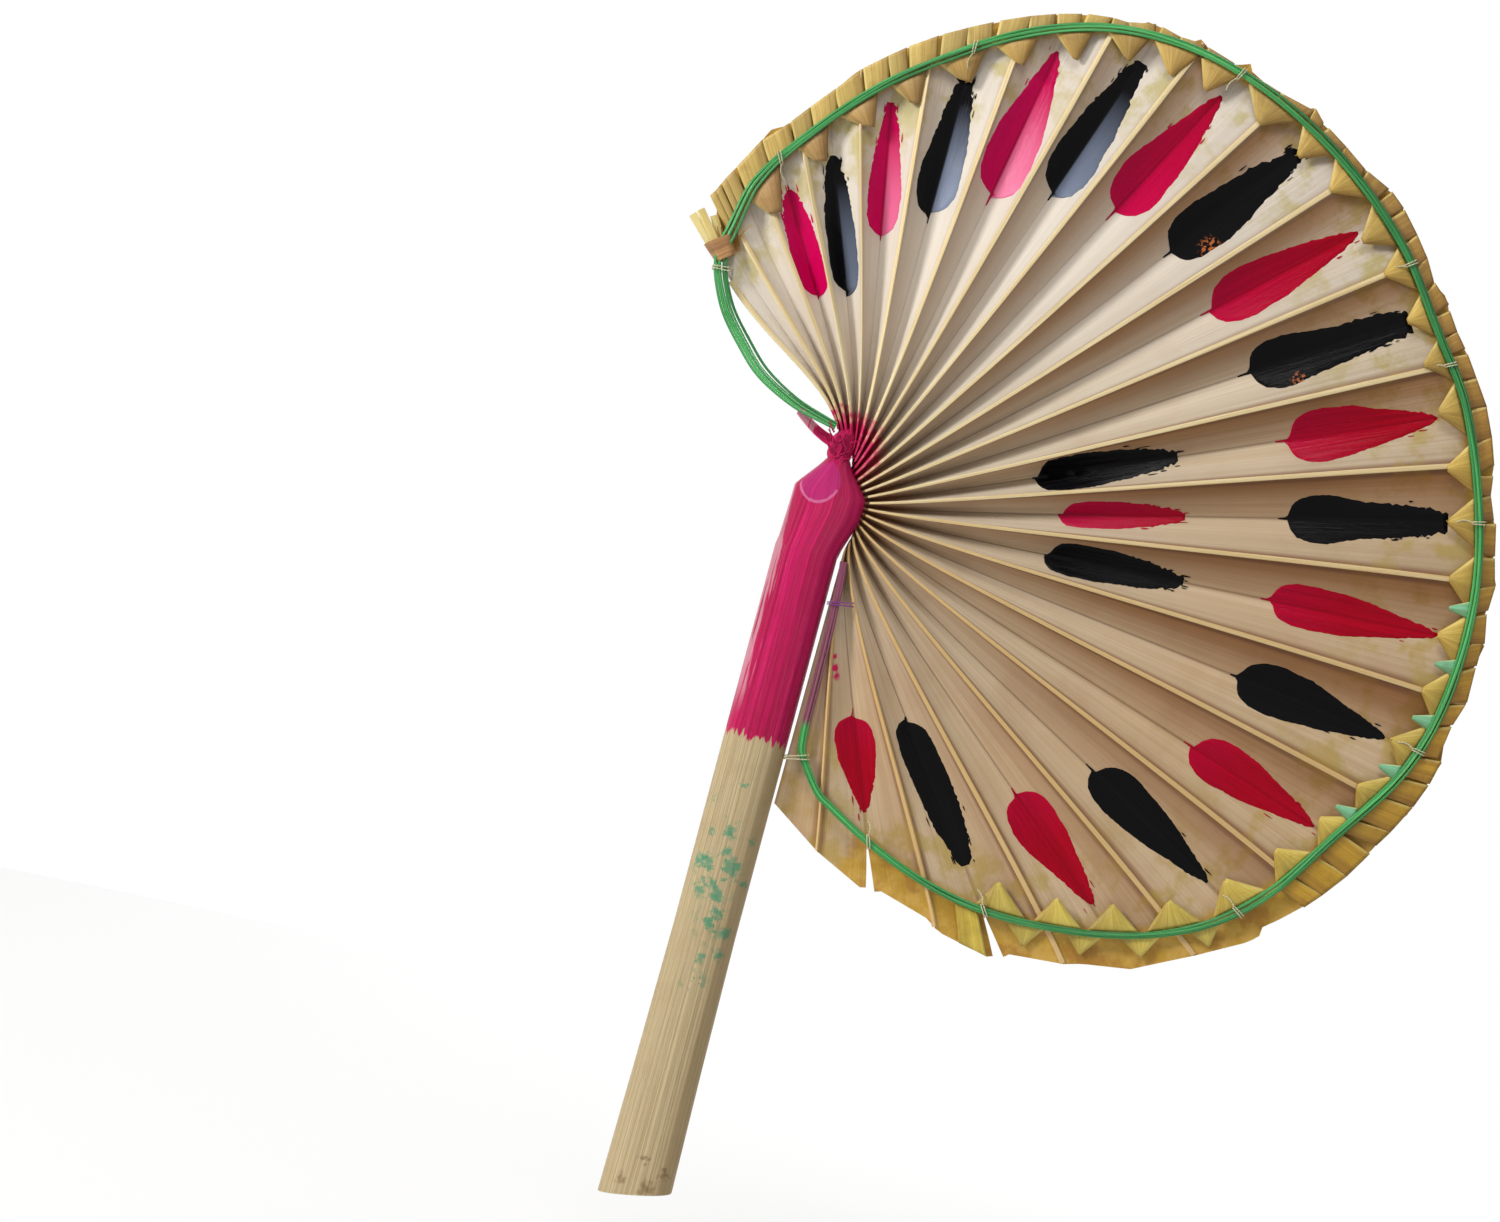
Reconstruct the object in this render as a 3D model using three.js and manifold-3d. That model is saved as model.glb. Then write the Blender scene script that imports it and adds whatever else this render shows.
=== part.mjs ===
import * as THREE from 'three';
import { mergeVertices } from 'three/addons/utils/BufferGeometryUtils.js';
import Module from 'manifold-3d';

// A side-set hand fan cut from one half of a pleated palm leaf. The handle is the leaf's own stalk and
// runs up +Z, the blade spreads to +X, and the painted face looks along -Y. The origin is the middle of
// the grip, on the handle's axis. Lengths are in millimetres and angles in degrees from +X towards +Z.

// Handle
const gripToButt = 95;
const handleLength = 255;
const buttHalfWidth = 12.7;
const gripHalfWidth = 11.2;
const handleFront = 7;
const handleBack = 4;
const buttSlant = 12.7;
const headReach = 20;
const headGap = 0.8;
const focusX = 10.9;
const focusZ = handleLength - gripToButt;

// Blade: an oval round its own centre, and the point that the straight part of each pleat aims at
const bladeLength = 337.8;
const bladeWidth = 292.6;
const bladeTilt = 118.3;
const bladeOffsetX = 75.1;
const bladeOffsetZ = 21.8;
const leafThickness = 0.6;
const pleatHalfDepth = 3.3;
const hoopHalfDepth = 1.3;
const rimHalfDepth = 0.7;
const ribWidth = 3.2;
const rootReach = 15;
const seamGap = 0.3;
const slitWidth = 3.4;
const cornerCut = 14.6;

// Hoop, edging and thread
const rimMargin = 9.3;
const hoopShiftX = 1.4;
const hoopShiftZ = 4.8;
const splintWidth = 0.9;
const splintThickness = 1.2;
const splintPitch = 1.2;
const arcPitch = 1.9;
const hoopSideGap = 4.3;
const hoopCornerInset = 10.7;
const hoopHeadGapX = 3;
const hoopHeadGapZ = 1.2;
const edgingThickness = 0.5;
const edgingClearance = 0.4;
const toothDepth = 10;
const notchDepth = 0.6;
const edgingSetback = 0.8;
const layerGap = 0.3;
const threadWidth = 0.9;
const tieWidth = 2;
const whiteTieSpan = 7.4;
const purpleTieSpan = 8.6;
const cornerTieDrop = 0.2;
const cornerTieSpan = 6.3;

// Corner wrap and the pale strip ends under it
const wrapInset = 8;
const wrapLength = 7.6;
const wrapReach = 4.6;
const wrapOpen = 3.8;
const wrapWall = 0.6;
const tabInset = 4;
const tabLength = 14;
const tabWidth = 6.4;
const tabThickness = 2;

// The ridges of the leaflets, from the upper corner round to the handle, and the edges beside them
const ridgeAngles = [
  128.5, 121.2, 113.2, 104, 95, 84.8, 75.8, 67.2, 57.6, 47.6, 37.6,
  27.4, 17.9, 7.1, -3.8, -14.9, -26.1, -38.4, -50.8, -64.3, -80.8,
];
const freeEdgeAngle = 134.7;
const freeSeamAngle = 131.2;
const slitAngles = [-58, -73];

// How far the bent hoop lies outside its oval, or inside where negative, by the angle from the focus
const hoopSway = [
  [-82, 0], [-75, 0.2], [-68, 0.6], [-62, 1], [-56, 0.6], [-51, 0], [-46, 0.6], [-41, 1.6], [-37, 2],
  [-33, 1.4], [-30, 0.2], [-27, -1.1], [-24, -2.7], [-21, -3.5], [-18, -3.2], [-15, -1.8], [-12, -0.3],
  [-8, 0.7], [0, 0.8], [8, 0.2], [14, -0.7], [20, -1.4], [25, -2.1], [28, -3.4], [31, -4.2], [34, -3.8],
  [38, -2.6], [44, -1.9], [50, -1.1], [56, -0.2], [62, 0.6], [70, 1.3], [76, 0.8], [80, -0.6], [84, -2.3],
  [88, -3.8], [92, -5.1], [97, -4.9], [102, -4], [107, -2.8], [111, -1.2], [115, 0.9], [118, 2.7],
  [121, 4], [124, 4.4], [128, 2.8], [134, 0],
];

// Where the leaf springs from the head: out as shares of gripHalfWidth, up as shares of headReach
const rootShares = [
  [-0.04, 1.1], [0.32, 0.96], [0.63, 0.8], [0.86, 0.4], [1.09, 0.25],
  [1.52, -0.03], [1.46, -0.42], [1.3, -0.68], [1.13, -0.99],
];

// The head's outline above the grip: up as shares of headReach, left and right sides as shares of
// gripHalfWidth, then the front and back as shares of the handle's own
const headShares = [
  { up: -1.15, left: -1, right: 1, front: 1, back: 1 },
  { up: -0.96, left: -0.95, right: 1.07, front: 1, back: 0.95 },
  { up: -0.68, left: -0.93, right: 1.23, front: 1, back: 0.9 },
  { up: -0.42, left: -0.91, right: 1.39, front: 0.98, back: 0.85 },
  { up: -0.03, left: -0.89, right: 1.43, front: 0.92, back: 0.8 },
  { up: 0.25, left: -0.5, right: 1, front: 0.82, back: 0.75 },
  { up: 0.4, left: -0.29, right: 0.77, front: 0.76, back: 0.72 },
  { up: 0.65, left: 0, right: 0.53, front: 0.68, back: 0.7 },
  { up: 0.8, left: -0.04, right: 0.38, front: 0.6, back: 0.65 },
  { up: 0.95, left: -0.05, right: 0.12, front: 0.5, back: 0.6 },
];

// How deep the pleats are from the head to the edging, as shares of that length and of pleatHalfDepth
const depthShares = [
  [0, 0.6], [0.12, 0.8], [0.4, 1], [0.75, 0.95], [1, 0.65],
];
const stationShares = [0, 0.12, 0.24, 0.36, 0.5, 0.64, 0.76, 0.88, 1];
const gripSwellShare = 0.4;
const cornerCutShares = [1, 0.55];

// The hoop's free arc: along and to the left of the chord from the head to the corner
const hoopArcShares = [
  [0, 0], [0.051, 0.027], [0.22, 0.103], [0.43, 0.148], [0.61, 0.136],
  [0.78, 0.107], [0.918, 0.051], [1, 0], [1.06, -0.06], [1.1, -0.14],
];

// The hoop beside the handle: out from its side as shares of hoopSideGap, and up as shares of the
// way from the end of the oval to the foot of the head
const hoopReturnShares = [
  [1.42, 0.135], [1.08, 0.2], [1, 0.29], [1, 0.43], [0.95, 0.66], [0.76, 0.9], [0.56, 1],
];
const whiteTieShare = 0.152;
const purpleTieShare = 0.83;
const handleSideShares = { edging: 0.8, hoop: 0.88 };
const controlShare = 0.69;
const endDepthShare = 0.5;
const endLineCount = 7;
const outerToothShare = 0.65;
const rootRibShare = 0.45;

// The corner wrap leans a little from the seam it sits on, and grows towards its mouth
const wrapAngle = 133;
const wrapDirection = 130;
const wrapFlareShare = 1.25;
const tabDirection = 132;

// How far a pleat leaves the head clockwise of its final direction: at the top, the middle, the bottom
const swirlTopAngle = 24;
const swirlMiddleAngle = 4;
const swirlLowAngle = 42;
const steepestAngle = -96;

const radians = THREE.MathUtils.degToRad;
const mix = THREE.MathUtils.lerp;

function finish(colour, roughness) {
  return new THREE.MeshStandardMaterial({ color: colour, roughness, metalness: 0 });
}

const stalk = finish(0xcdb987, 0.55);
const leaf = finish(0xdccbab, 0.6);
const ochreStrip = finish(0xc8a545, 0.6);
const greenSplint = finish(0x28964a, 0.45);
const brownStrip = finish(0xb4844a, 0.6);
const paleStrip = finish(0xe9dc9a, 0.55);
const cream = finish(0xe8e2c8, 0.85);
const purple = finish(0xb04fb4, 0.85);

const fan = new THREE.Group();

function addPiece(name, geometry, material) {
  const mesh = new THREE.Mesh(geometry, material);
  mesh.name = name;
  fan.add(mesh);
  return mesh;
}

// A closed solid through rings of points that have the same count, with flat ends
function loft(rings) {
  const count = rings[0].length;
  const positions = rings.flat().flatMap((p) => [p.x, p.y, p.z]);
  const faces = [];
  for (let row = 0; row + 1 < rings.length; row += 1) {
    for (let i = 0; i < count; i += 1) {
      const a = row * count + i;
      const b = row * count + ((i + 1) % count);
      faces.push(a, b, b + count, a, b + count, a + count);
    }
  }
  const top = (rings.length - 1) * count;
  for (let i = 1; i + 1 < count; i += 1) {
    faces.push(0, i + 1, i);
    faces.push(top, top + i, top + i + 1);
  }
  return outward(positions, faces);
}

// A closed sheet between a front and a back grid of points, row by row
function sheet(front, back) {
  const rows = front.length;
  const columns = front[0].length;
  const positions = [...front.flat(), ...back.flat()].flatMap((p) => [p.x, p.y, p.z]);
  const faces = [];
  const at = (side, row, column) => side * rows * columns + row * columns + column;
  const quad = (a, b, c, d) => faces.push(a, b, c, a, c, d);
  for (let r = 0; r + 1 < rows; r += 1) {
    for (let c = 0; c + 1 < columns; c += 1) {
      quad(at(0, r, c), at(0, r, c + 1), at(0, r + 1, c + 1), at(0, r + 1, c));
      quad(at(1, r, c), at(1, r + 1, c), at(1, r + 1, c + 1), at(1, r, c + 1));
    }
    quad(at(0, r, 0), at(0, r + 1, 0), at(1, r + 1, 0), at(1, r, 0));
    quad(at(0, r, columns - 1), at(1, r, columns - 1), at(1, r + 1, columns - 1), at(0, r + 1, columns - 1));
  }
  for (let c = 0; c + 1 < columns; c += 1) {
    quad(at(0, 0, c), at(1, 0, c), at(1, 0, c + 1), at(0, 0, c + 1));
    quad(at(0, rows - 1, c), at(0, rows - 1, c + 1), at(1, rows - 1, c + 1), at(1, rows - 1, c));
  }
  return outward(positions, faces);
}

// Turns the faces round where the solid came out inside out
function outward(positions, faces) {
  const corner = (i) => new THREE.Vector3().fromArray(positions, 3 * i);
  let volume = 0;
  for (let f = 0; f < faces.length; f += 3) {
    volume += corner(faces[f]).dot(corner(faces[f + 1]).cross(corner(faces[f + 2])));
  }
  const turned = volume < 0 ? [...faces].reverse() : faces;
  const geometry = new THREE.BufferGeometry();
  geometry.setAttribute('position', new THREE.Float32BufferAttribute(positions, 3));
  geometry.setIndex(turned);
  geometry.computeVertexNormals();
  return geometry;
}

// A value read from a table of [share, value] pairs
function lookUp(table, share) {
  const next = Math.max(1, table.findIndex((row) => row[0] >= share));
  const [fromShare, from] = table[next - 1];
  const [toShare, to] = table[next];
  return mix(from, to, Math.min(1, Math.max(0, (share - fromShare) / (toShare - fromShare))));
}

// Handle: a half-round stalk with a flat split back and a head that swells towards the leaf
const sectionStepCount = 10;
const crownShare = 0.62;
const crownSkewShare = 0.14;

function handleRing(z, left, right, front, back, slant) {
  const middle = (left + right) / 2;
  const half = (right - left) / 2;
  const ring = [];
  for (let i = 0; i <= sectionStepCount; i += 1) {
    const turn = Math.PI * (i / sectionStepCount);
    const rise = Math.sin(turn) ** crownShare * (1 + crownSkewShare * Math.cos(turn));
    const x = middle + half * Math.cos(turn);
    ring.push(new THREE.Vector3(x, mix(back, -front, rise), z + x * slant));
  }
  return ring;
}

const slope = Math.tan(radians(buttSlant));
const swellHalfWidth = mix(gripHalfWidth, buttHalfWidth, gripSwellShare);
const handleRings = [
  handleRing(-gripToButt, -buttHalfWidth, buttHalfWidth, handleFront, handleBack, slope),
  handleRing(-gripToButt / 2, -swellHalfWidth, swellHalfWidth, handleFront, handleBack, 0),
  handleRing(0, -gripHalfWidth, gripHalfWidth, handleFront, handleBack, 0),
];
for (const part of headShares) {
  const level = focusZ + part.up * headReach;
  handleRings.push(handleRing(level, part.left * gripHalfWidth, part.right * gripHalfWidth,
    handleFront * part.front, handleBack * part.back, 0));
}
addPiece('handle', loft(handleRings), stalk);

// Ovals of the blade's edge and of the hoop, and how far each lies from a point in a direction
const blade = {
  x: focusX + bladeOffsetX,
  z: focusZ + bladeOffsetZ,
  long: bladeLength / 2,
  short: bladeWidth / 2,
};
const hoop = {
  x: blade.x + hoopShiftX,
  z: blade.z + hoopShiftZ,
  long: blade.long - rimMargin,
  short: blade.short - rimMargin,
};

function reach(oval, fromX, fromZ, angle) {
  const turn = radians(bladeTilt);
  const along = (x, z) => (x * Math.cos(turn) + z * Math.sin(turn)) / oval.long;
  const across = (x, z) => (z * Math.cos(turn) - x * Math.sin(turn)) / oval.short;
  const dirX = Math.cos(radians(angle));
  const dirZ = Math.sin(radians(angle));
  const startLong = along(fromX - oval.x, fromZ - oval.z);
  const startShort = across(fromX - oval.x, fromZ - oval.z);
  const stepLong = along(dirX, dirZ);
  const stepShort = across(dirX, dirZ);
  const a = stepLong ** 2 + stepShort ** 2;
  const b = startLong * stepLong + startShort * stepShort;
  const c = startLong ** 2 + startShort ** 2 - 1;
  return (Math.sqrt(b * b - a * c) - b) / a;
}

// The bent hoop's distance from the focus
const swayAngles = hoopSway.map(([angle]) => angle);
const swayLengths = hoopSway.map(([, length]) => length);
const swayCurve = new THREE.CubicInterpolant(swayAngles, swayLengths, 1, new Float32Array(1));

function hoopReach(angle) {
  return reach(hoop, focusX, focusZ, angle) + swayCurve.evaluate(angle)[0];
}

// The direction square to the hoop where it crosses an angle
function hoopSquare(angle) {
  const step = 1;
  const before = fromFocus(angle + step, hoopReach(angle + step));
  const after = fromFocus(angle - step, hoopReach(angle - step));
  return THREE.MathUtils.radToDeg(after.sub(before).angle()) + 90;
}

function fromAngle(angle, distance) {
  return new THREE.Vector2(Math.cos(radians(angle)), Math.sin(radians(angle))).multiplyScalar(distance);
}

function fromFocus(angle, distance) {
  return fromAngle(angle, distance).add(new THREE.Vector2(focusX, focusZ));
}

// The lines of the leaf: free edge, seam, then ridge and seam by turns, and last the handle's side
const lineAngles = [freeEdgeAngle, freeSeamAngle];
ridgeAngles.forEach((angle, i) => {
  lineAngles.push(angle);
  if (i + 1 < ridgeAngles.length) lineAngles.push((angle + ridgeAngles[i + 1]) / 2);
});
const lastLine = lineAngles.length;
const nearestLine = (angle) => lineAngles.reduce(
  (best, other, i) => (Math.abs(other - angle) < Math.abs(lineAngles[best] - angle) ? i : best), 0,
);
const rootCurve = new THREE.SplineCurve(
  rootShares.map(([out, up]) => new THREE.Vector2(out * gripHalfWidth, focusZ + up * headReach)),
);
const middleAngle = (freeEdgeAngle + ridgeAngles.at(-1)) / 2;

function swirl(angle) {
  const span = freeEdgeAngle - middleAngle;
  const share = Math.abs(angle - middleAngle) / span;
  return mix(swirlMiddleAngle, angle > middleAngle ? swirlTopAngle : swirlLowAngle, share);
}

function leafLine(index) {
  const root = rootCurve.getPointAt(index / lastLine);
  if (index === lastLine) {
    const side = gripHalfWidth + headGap;
    const foot = new THREE.Vector2(side, focusZ - reach(blade, side, focusZ, -90));
    return new THREE.LineCurve(root, foot);
  }
  const angle = lineAngles[index];
  const distance = reach(blade, focusX, focusZ, angle) - (cornerCutShares[index] ?? 0) * cornerCut;
  const leaving = fromAngle(Math.max(steepestAngle, angle - swirl(angle)), rootReach).add(root);
  return new THREE.CubicBezierCurve(
    root, leaving, fromFocus(angle, controlShare * distance), fromFocus(angle, distance),
  );
}

const leafLines = lineAngles.map((_, i) => leafLine(i));
leafLines.push(leafLine(lastLine));

const bundleHalf = splintPitch + splintWidth / 2 + layerGap;

// Where the edging starts and where the hoop lies on a line, as shares of the line's length
function rimShares(index) {
  if (index === lastLine) return handleSideShares;
  const edge = reach(blade, focusX, focusZ, lineAngles[index]);
  const hoopAt = hoopReach(lineAngles[index]);
  return { edging: (hoopAt - toothDepth) / edge, hoop: (hoopAt - bundleHalf) / edge };
}

// The stations along a line: its share of the line's length and the pleat's half depth there
function stations(index) {
  const { edging, hoop: hoopShare } = rimShares(index);
  const fromEnd = Math.min(1, Math.min(index, lastLine - index) / endLineCount);
  const calm = mix(endDepthShare, 1, fromEnd);
  const list = stationShares.map((share) => ({
    share: share * edging,
    depth: calm * pleatHalfDepth * lookUp(depthShares, share),
    opening: 0,
  }));
  list.push({ share: hoopShare, depth: calm * hoopHalfDepth, opening: 0 });
  const halfWay = (hoopHalfDepth + rimHalfDepth) / 2;
  list.push({ share: (1 + hoopShare) / 2, depth: calm * halfWay, opening: 0.5 });
  list.push({ share: 1, depth: calm * rimHalfDepth, opening: 1 });
  return list;
}

// One leaflet: a fold between two seams with a flat rib along its ridge
function leaflet(left, ridge, right) {
  const front = [];
  const back = [];
  const stops = [left, ridge, right].map((index) => stations(index));
  const slit = (index) => (slitAngles.some((angle) => nearestLine(angle) === index) ? slitWidth / 2 : 0);
  for (let i = 0; i < stops[0].length; i += 1) {
    const [atLeft, atRidge, atRight] = stops.map((list) => list[i]);
    const seamLeft = leafLines[left].getPoint(atLeft.share);
    const crest = leafLines[ridge].getPoint(atRidge.share);
    const seamRight = leafLines[right].getPoint(atRight.share);
    const across = seamRight.clone().sub(seamLeft);
    const rib = Math.min(ribWidth, across.length() * rootRibShare) / 2;
    across.normalize();
    const points = [];
    if (left !== ridge) {
      seamLeft.addScaledVector(across, seamGap / 2 + slit(left) * atLeft.opening);
      points.push([seamLeft, atLeft.depth]);
    }
    points.push([crest.clone().addScaledVector(across, left === ridge ? 0 : -rib), -atRidge.depth]);
    points.push([crest.clone().addScaledVector(across, rib), -atRidge.depth]);
    seamRight.addScaledVector(across, -seamGap / 2 - slit(right) * atRight.opening);
    points.push([seamRight, atRight.depth]);
    front.push(points.map(([p, y]) => new THREE.Vector3(p.x, y - leafThickness / 2, p.y)));
    back.push(points.map(([p, y]) => new THREE.Vector3(p.x, y + leafThickness / 2, p.y)));
  }
  return sheet(front, back);
}

// Edging: a strip folded into a tooth over each ridge and seam, on the front (-1) and the back (1)
const edgingLines = [];
for (let i = 1; i <= lastLine - 4; i += 1) edgingLines.push(i);
const edgingRise = leafThickness / 2 + edgingClearance;

function edging(side) {
  const near = [];
  const far = [];
  const addRow = (angle, inner, outerShare) => {
    const hoopAt = hoopReach(angle);
    const rim = reach(blade, focusX, focusZ, angle) - edgingSetback;
    const innerShare = inner / toothDepth;
    const stops = [
      [hoopAt - bundleHalf - inner, mix(hoopHalfDepth, pleatHalfDepth * depthShares.at(-1)[1], innerShare)],
      [hoopAt - bundleHalf, hoopHalfDepth],
      [hoopAt + bundleHalf, hoopHalfDepth],
      [mix(hoopAt + bundleHalf, rim, outerShare), hoopHalfDepth],
    ];
    const row = (lift) => stops.map(([distance, depth]) => {
      const p = fromFocus(angle, distance);
      return new THREE.Vector3(p.x, side * (depth + edgingRise + lift), p.y);
    });
    near.push(row(0));
    far.push(row(edgingThickness));
  };
  edgingLines.forEach((line, i) => {
    addRow(lineAngles[line], toothDepth - bundleHalf, i % 2 ? 1 : outerToothShare);
    const next = edgingLines[i + 1];
    if (next) addRow((lineAngles[line] + lineAngles[next]) / 2, notchDepth, i % 2 ? outerToothShare : 1);
  });
  return sheet(near, far);
}

// Joining and cutting of solids
const wasm = await Module();
wasm.setup();

function toManifold(geometry) {
  const bare = geometry.clone();
  bare.deleteAttribute('normal');
  bare.deleteAttribute('uv');
  const merged = mergeVertices(bare);
  return new wasm.Manifold(new wasm.Mesh({
    numProp: 3,
    vertProperties: new Float32Array(merged.attributes.position.array),
    triVerts: new Uint32Array(merged.index.array),
  }));
}

function cut(geometry, cutters) {
  let solid = toManifold(geometry);
  for (const cutter of cutters) solid = solid.subtract(cutter);
  const result = solid.getMesh();
  const trimmed = new THREE.BufferGeometry();
  trimmed.setAttribute('position', new THREE.Float32BufferAttribute(result.vertProperties, 3));
  trimmed.setIndex(Array.from(result.triVerts));
  trimmed.computeVertexNormals();
  return trimmed;
}

// Levels above the leaf's mid-plane, for the hoop and for the thread that crosses it
const hoopLift = hoopHalfDepth + edgingRise + edgingThickness + layerGap;
const threadLift = hoopLift + splintThickness + layerGap;

// Thread: each stitch or tie is a closed ring through the leaf and over the hoop on both faces
const stitchAngles = [117, 90, 62, 38, 27, 12, -9, -32, -58, -73];
const threads = [];
const holes = [];

function addThread(name, x, z, angle, halfInner, width, material) {
  const halfOuter = halfInner + threadWidth;
  const rise = threadLift + threadWidth;
  const outline = (half, lift) => [
    new THREE.Vector2(-half, -lift), new THREE.Vector2(half, -lift),
    new THREE.Vector2(half, lift), new THREE.Vector2(-half, lift),
  ];
  const shape = new THREE.Shape(outline(halfOuter, rise));
  shape.holes.push(new THREE.Path(outline(halfInner, threadLift)));
  const ring = new THREE.ExtrudeGeometry(shape, { depth: width, bevelEnabled: false });
  ring.translate(0, 0, -width / 2);
  const place = new THREE.Matrix4().makeRotationY(-radians(angle)).setPosition(x, 0, z);
  threads.push({ name, geometry: ring.applyMatrix4(place), material });
  for (const side of [-1, 1]) {
    const hole = new THREE.BoxGeometry(threadWidth + 2 * layerGap, 2 * rise, width + 2 * layerGap);
    hole.translate(side * (halfInner + threadWidth / 2), 0, 0);
    holes.push(toManifold(hole.applyMatrix4(place)));
  }
}

stitchAngles.forEach((near, i) => {
  const angle = lineAngles[nearestLine(near)];
  const p = fromFocus(angle, hoopReach(angle));
  const lean = radians(angle - hoopSquare(angle));
  const half = bundleHalf / Math.abs(Math.cos(lean)) + Math.abs(Math.tan(lean)) * threadWidth / 2;
  addThread(`stitch_${String(i + 1).padStart(2, '0')}`, p.x, p.y, angle, half, threadWidth, cream);
});

// The white tie holds the hoop beside the handle, the purple one joins it to the last rib, and the
// one at the corner holds it to the first seam
const tieLeft = gripHalfWidth + headGap + threadWidth;
const hoopEnd = -82;
const ovalEndZ = fromFocus(hoopEnd, hoopReach(hoopEnd)).y;
const headFootZ = focusZ + headShares[0].up * headReach;
const whiteTieZ = mix(ovalEndZ, headFootZ, whiteTieShare);
const purpleTieZ = mix(ovalEndZ, headFootZ, purpleTieShare);
addThread('tie_white', tieLeft + whiteTieSpan / 2, whiteTieZ, 0, whiteTieSpan / 2, tieWidth, cream);
addThread('tie_purple', tieLeft + purpleTieSpan / 2, purpleTieZ, 0, purpleTieSpan / 2, threadWidth, purple);
const hoopCorner = fromFocus(freeEdgeAngle, reach(blade, focusX, focusZ, freeEdgeAngle) - hoopCornerInset);
const wrapAt = fromFocus(wrapAngle, reach(blade, focusX, focusZ, wrapAngle) - wrapInset);
const wrapSide = fromAngle(wrapDirection + 90, wrapReach);
const wrapFoot = fromAngle(wrapDirection, -wrapLength / 2).add(wrapSide).add(wrapAt);
const cornerTieX = hoopCorner.x - bundleHalf + cornerTieSpan / 2;
const cornerTieZ = Math.min(hoopCorner.y, wrapFoot.y - layerGap) - threadWidth / 2 - cornerTieDrop;
addThread('tie_corner', cornerTieX, cornerTieZ, 0, cornerTieSpan / 2, threadWidth, cream);

addPiece('leaflet_01', cut(leaflet(0, 0, 1), holes), leaf);
ridgeAngles.forEach((_, i) => {
  const ridge = 2 + 2 * i;
  const name = `leaflet_${String(i + 2).padStart(2, '0')}`;
  addPiece(name, cut(leaflet(ridge - 1, ridge, ridge + 1), holes), leaf);
});
addPiece('edging_front', cut(edging(-1), holes), ochreStrip);
addPiece('edging_back', cut(edging(1), holes), ochreStrip);
threads.forEach(({ name, geometry, material }) => addPiece(name, geometry, material));

// Hoop: flat splints side by side, from the head up the free edge, round the rim and back to the head
const hoopStart = 124;
const hoopStepCount = 72;
const headTop = rootCurve.getPointAt(0);
const hoopFoot = new THREE.Vector2(headTop.x - hoopHeadGapX, headTop.y + hoopHeadGapZ);
const chord = hoopCorner.clone().sub(hoopFoot);

const hoopRoute = hoopArcShares.map(([along, across]) => ({
  x: hoopFoot.x + along * chord.x - across * chord.y,
  z: hoopFoot.y + along * chord.y + across * chord.x,
  pitch: mix(splintPitch, arcPitch, Math.max(0, Math.sin(Math.PI * along))),
}));
for (let i = 0; i <= hoopStepCount; i += 1) {
  const angle = mix(hoopStart, hoopEnd, i / hoopStepCount);
  const p = fromFocus(angle, hoopReach(angle));
  hoopRoute.push({ x: p.x, z: p.y, pitch: splintPitch });
}
hoopReturnShares.forEach(([out, up]) => {
  const x = gripHalfWidth + out * hoopSideGap;
  hoopRoute.push({ x, z: mix(ovalEndZ, headFootZ, up), pitch: splintPitch });
});

function splint(lane, side) {
  const rings = hoopRoute.map((stop, i) => {
    const before = hoopRoute[Math.max(0, i - 1)];
    const after = hoopRoute[Math.min(hoopRoute.length - 1, i + 1)];
    const normal = new THREE.Vector2(before.z - after.z, after.x - before.x).normalize();
    const corner = (across, lift) => {
      const shift = lane * stop.pitch + across * splintWidth / 2;
      const y = side * (hoopLift + lift * splintThickness);
      return new THREE.Vector3(stop.x + normal.x * shift, y, stop.z + normal.y * shift);
    };
    return [corner(-1, 0), corner(1, 0), corner(1, 1), corner(-1, 1)];
  });
  return loft(rings);
}

[-1, 0, 1].forEach((lane, i) => addPiece(`hoop_front_${i + 1}`, splint(lane, -1), greenSplint));
[-0.5, 0.5].forEach((lane, i) => addPiece(`hoop_back_${i + 1}`, splint(lane, 1), greenSplint));

// Corner wrap: a strip folded round the splints at the corner, open towards the leaf
const wrapRise = threadLift + wrapWall;
const wrapShape = new THREE.Shape([
  new THREE.Vector2(-wrapOpen, -wrapRise), new THREE.Vector2(wrapReach, -wrapRise),
  new THREE.Vector2(wrapReach, wrapRise), new THREE.Vector2(-wrapOpen, wrapRise),
  new THREE.Vector2(-wrapOpen, threadLift), new THREE.Vector2(wrapReach - wrapWall, threadLift),
  new THREE.Vector2(wrapReach - wrapWall, -threadLift), new THREE.Vector2(-wrapOpen, -threadLift),
]);
const wrap = new THREE.ExtrudeGeometry(wrapShape, { depth: wrapLength, bevelEnabled: false });
const wrapPoints = wrap.attributes.position;
for (let i = 0; i < wrapPoints.count; i += 1) {
  const flare = mix(1, wrapFlareShare, wrapPoints.getZ(i) / wrapLength);
  wrapPoints.setX(i, wrapPoints.getX(i) * flare);
}
wrap.translate(0, 0, -wrapLength / 2);
const wrapMesh = addPiece('corner_wrap', wrap, brownStrip);
wrapMesh.position.set(wrapAt.x, 0, wrapAt.y);
wrapMesh.rotation.y = -radians(wrapDirection + 90);

// Pale strip ends: a flat tab that leaves the corner of the leaf under the wrap
const tab = new THREE.BoxGeometry(tabLength, tabThickness, tabWidth);
tab.translate(tabLength / 2, 0, 0);
const tabMesh = addPiece('corner_tab', tab, paleStrip);
const tabAt = fromAngle(wrapAngle, tabInset).add(wrapAt);
tabMesh.position.set(tabAt.x, 0, tabAt.y);
tabMesh.rotation.y = -radians(tabDirection);

export default fan;
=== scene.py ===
"""Looks for a side-set fan cut from a pleated palm leaf, with painted strokes and a green splint hoop.

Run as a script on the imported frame. Points are worked out in millimetres in the frame's own axes
(x out from the handle, y through the leaf with the painted face at -y, z up) and become metres
when a mesh is made.
"""

import math

import bmesh
import bpy
import numpy as np
from mathutils import Matrix, Vector


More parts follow.
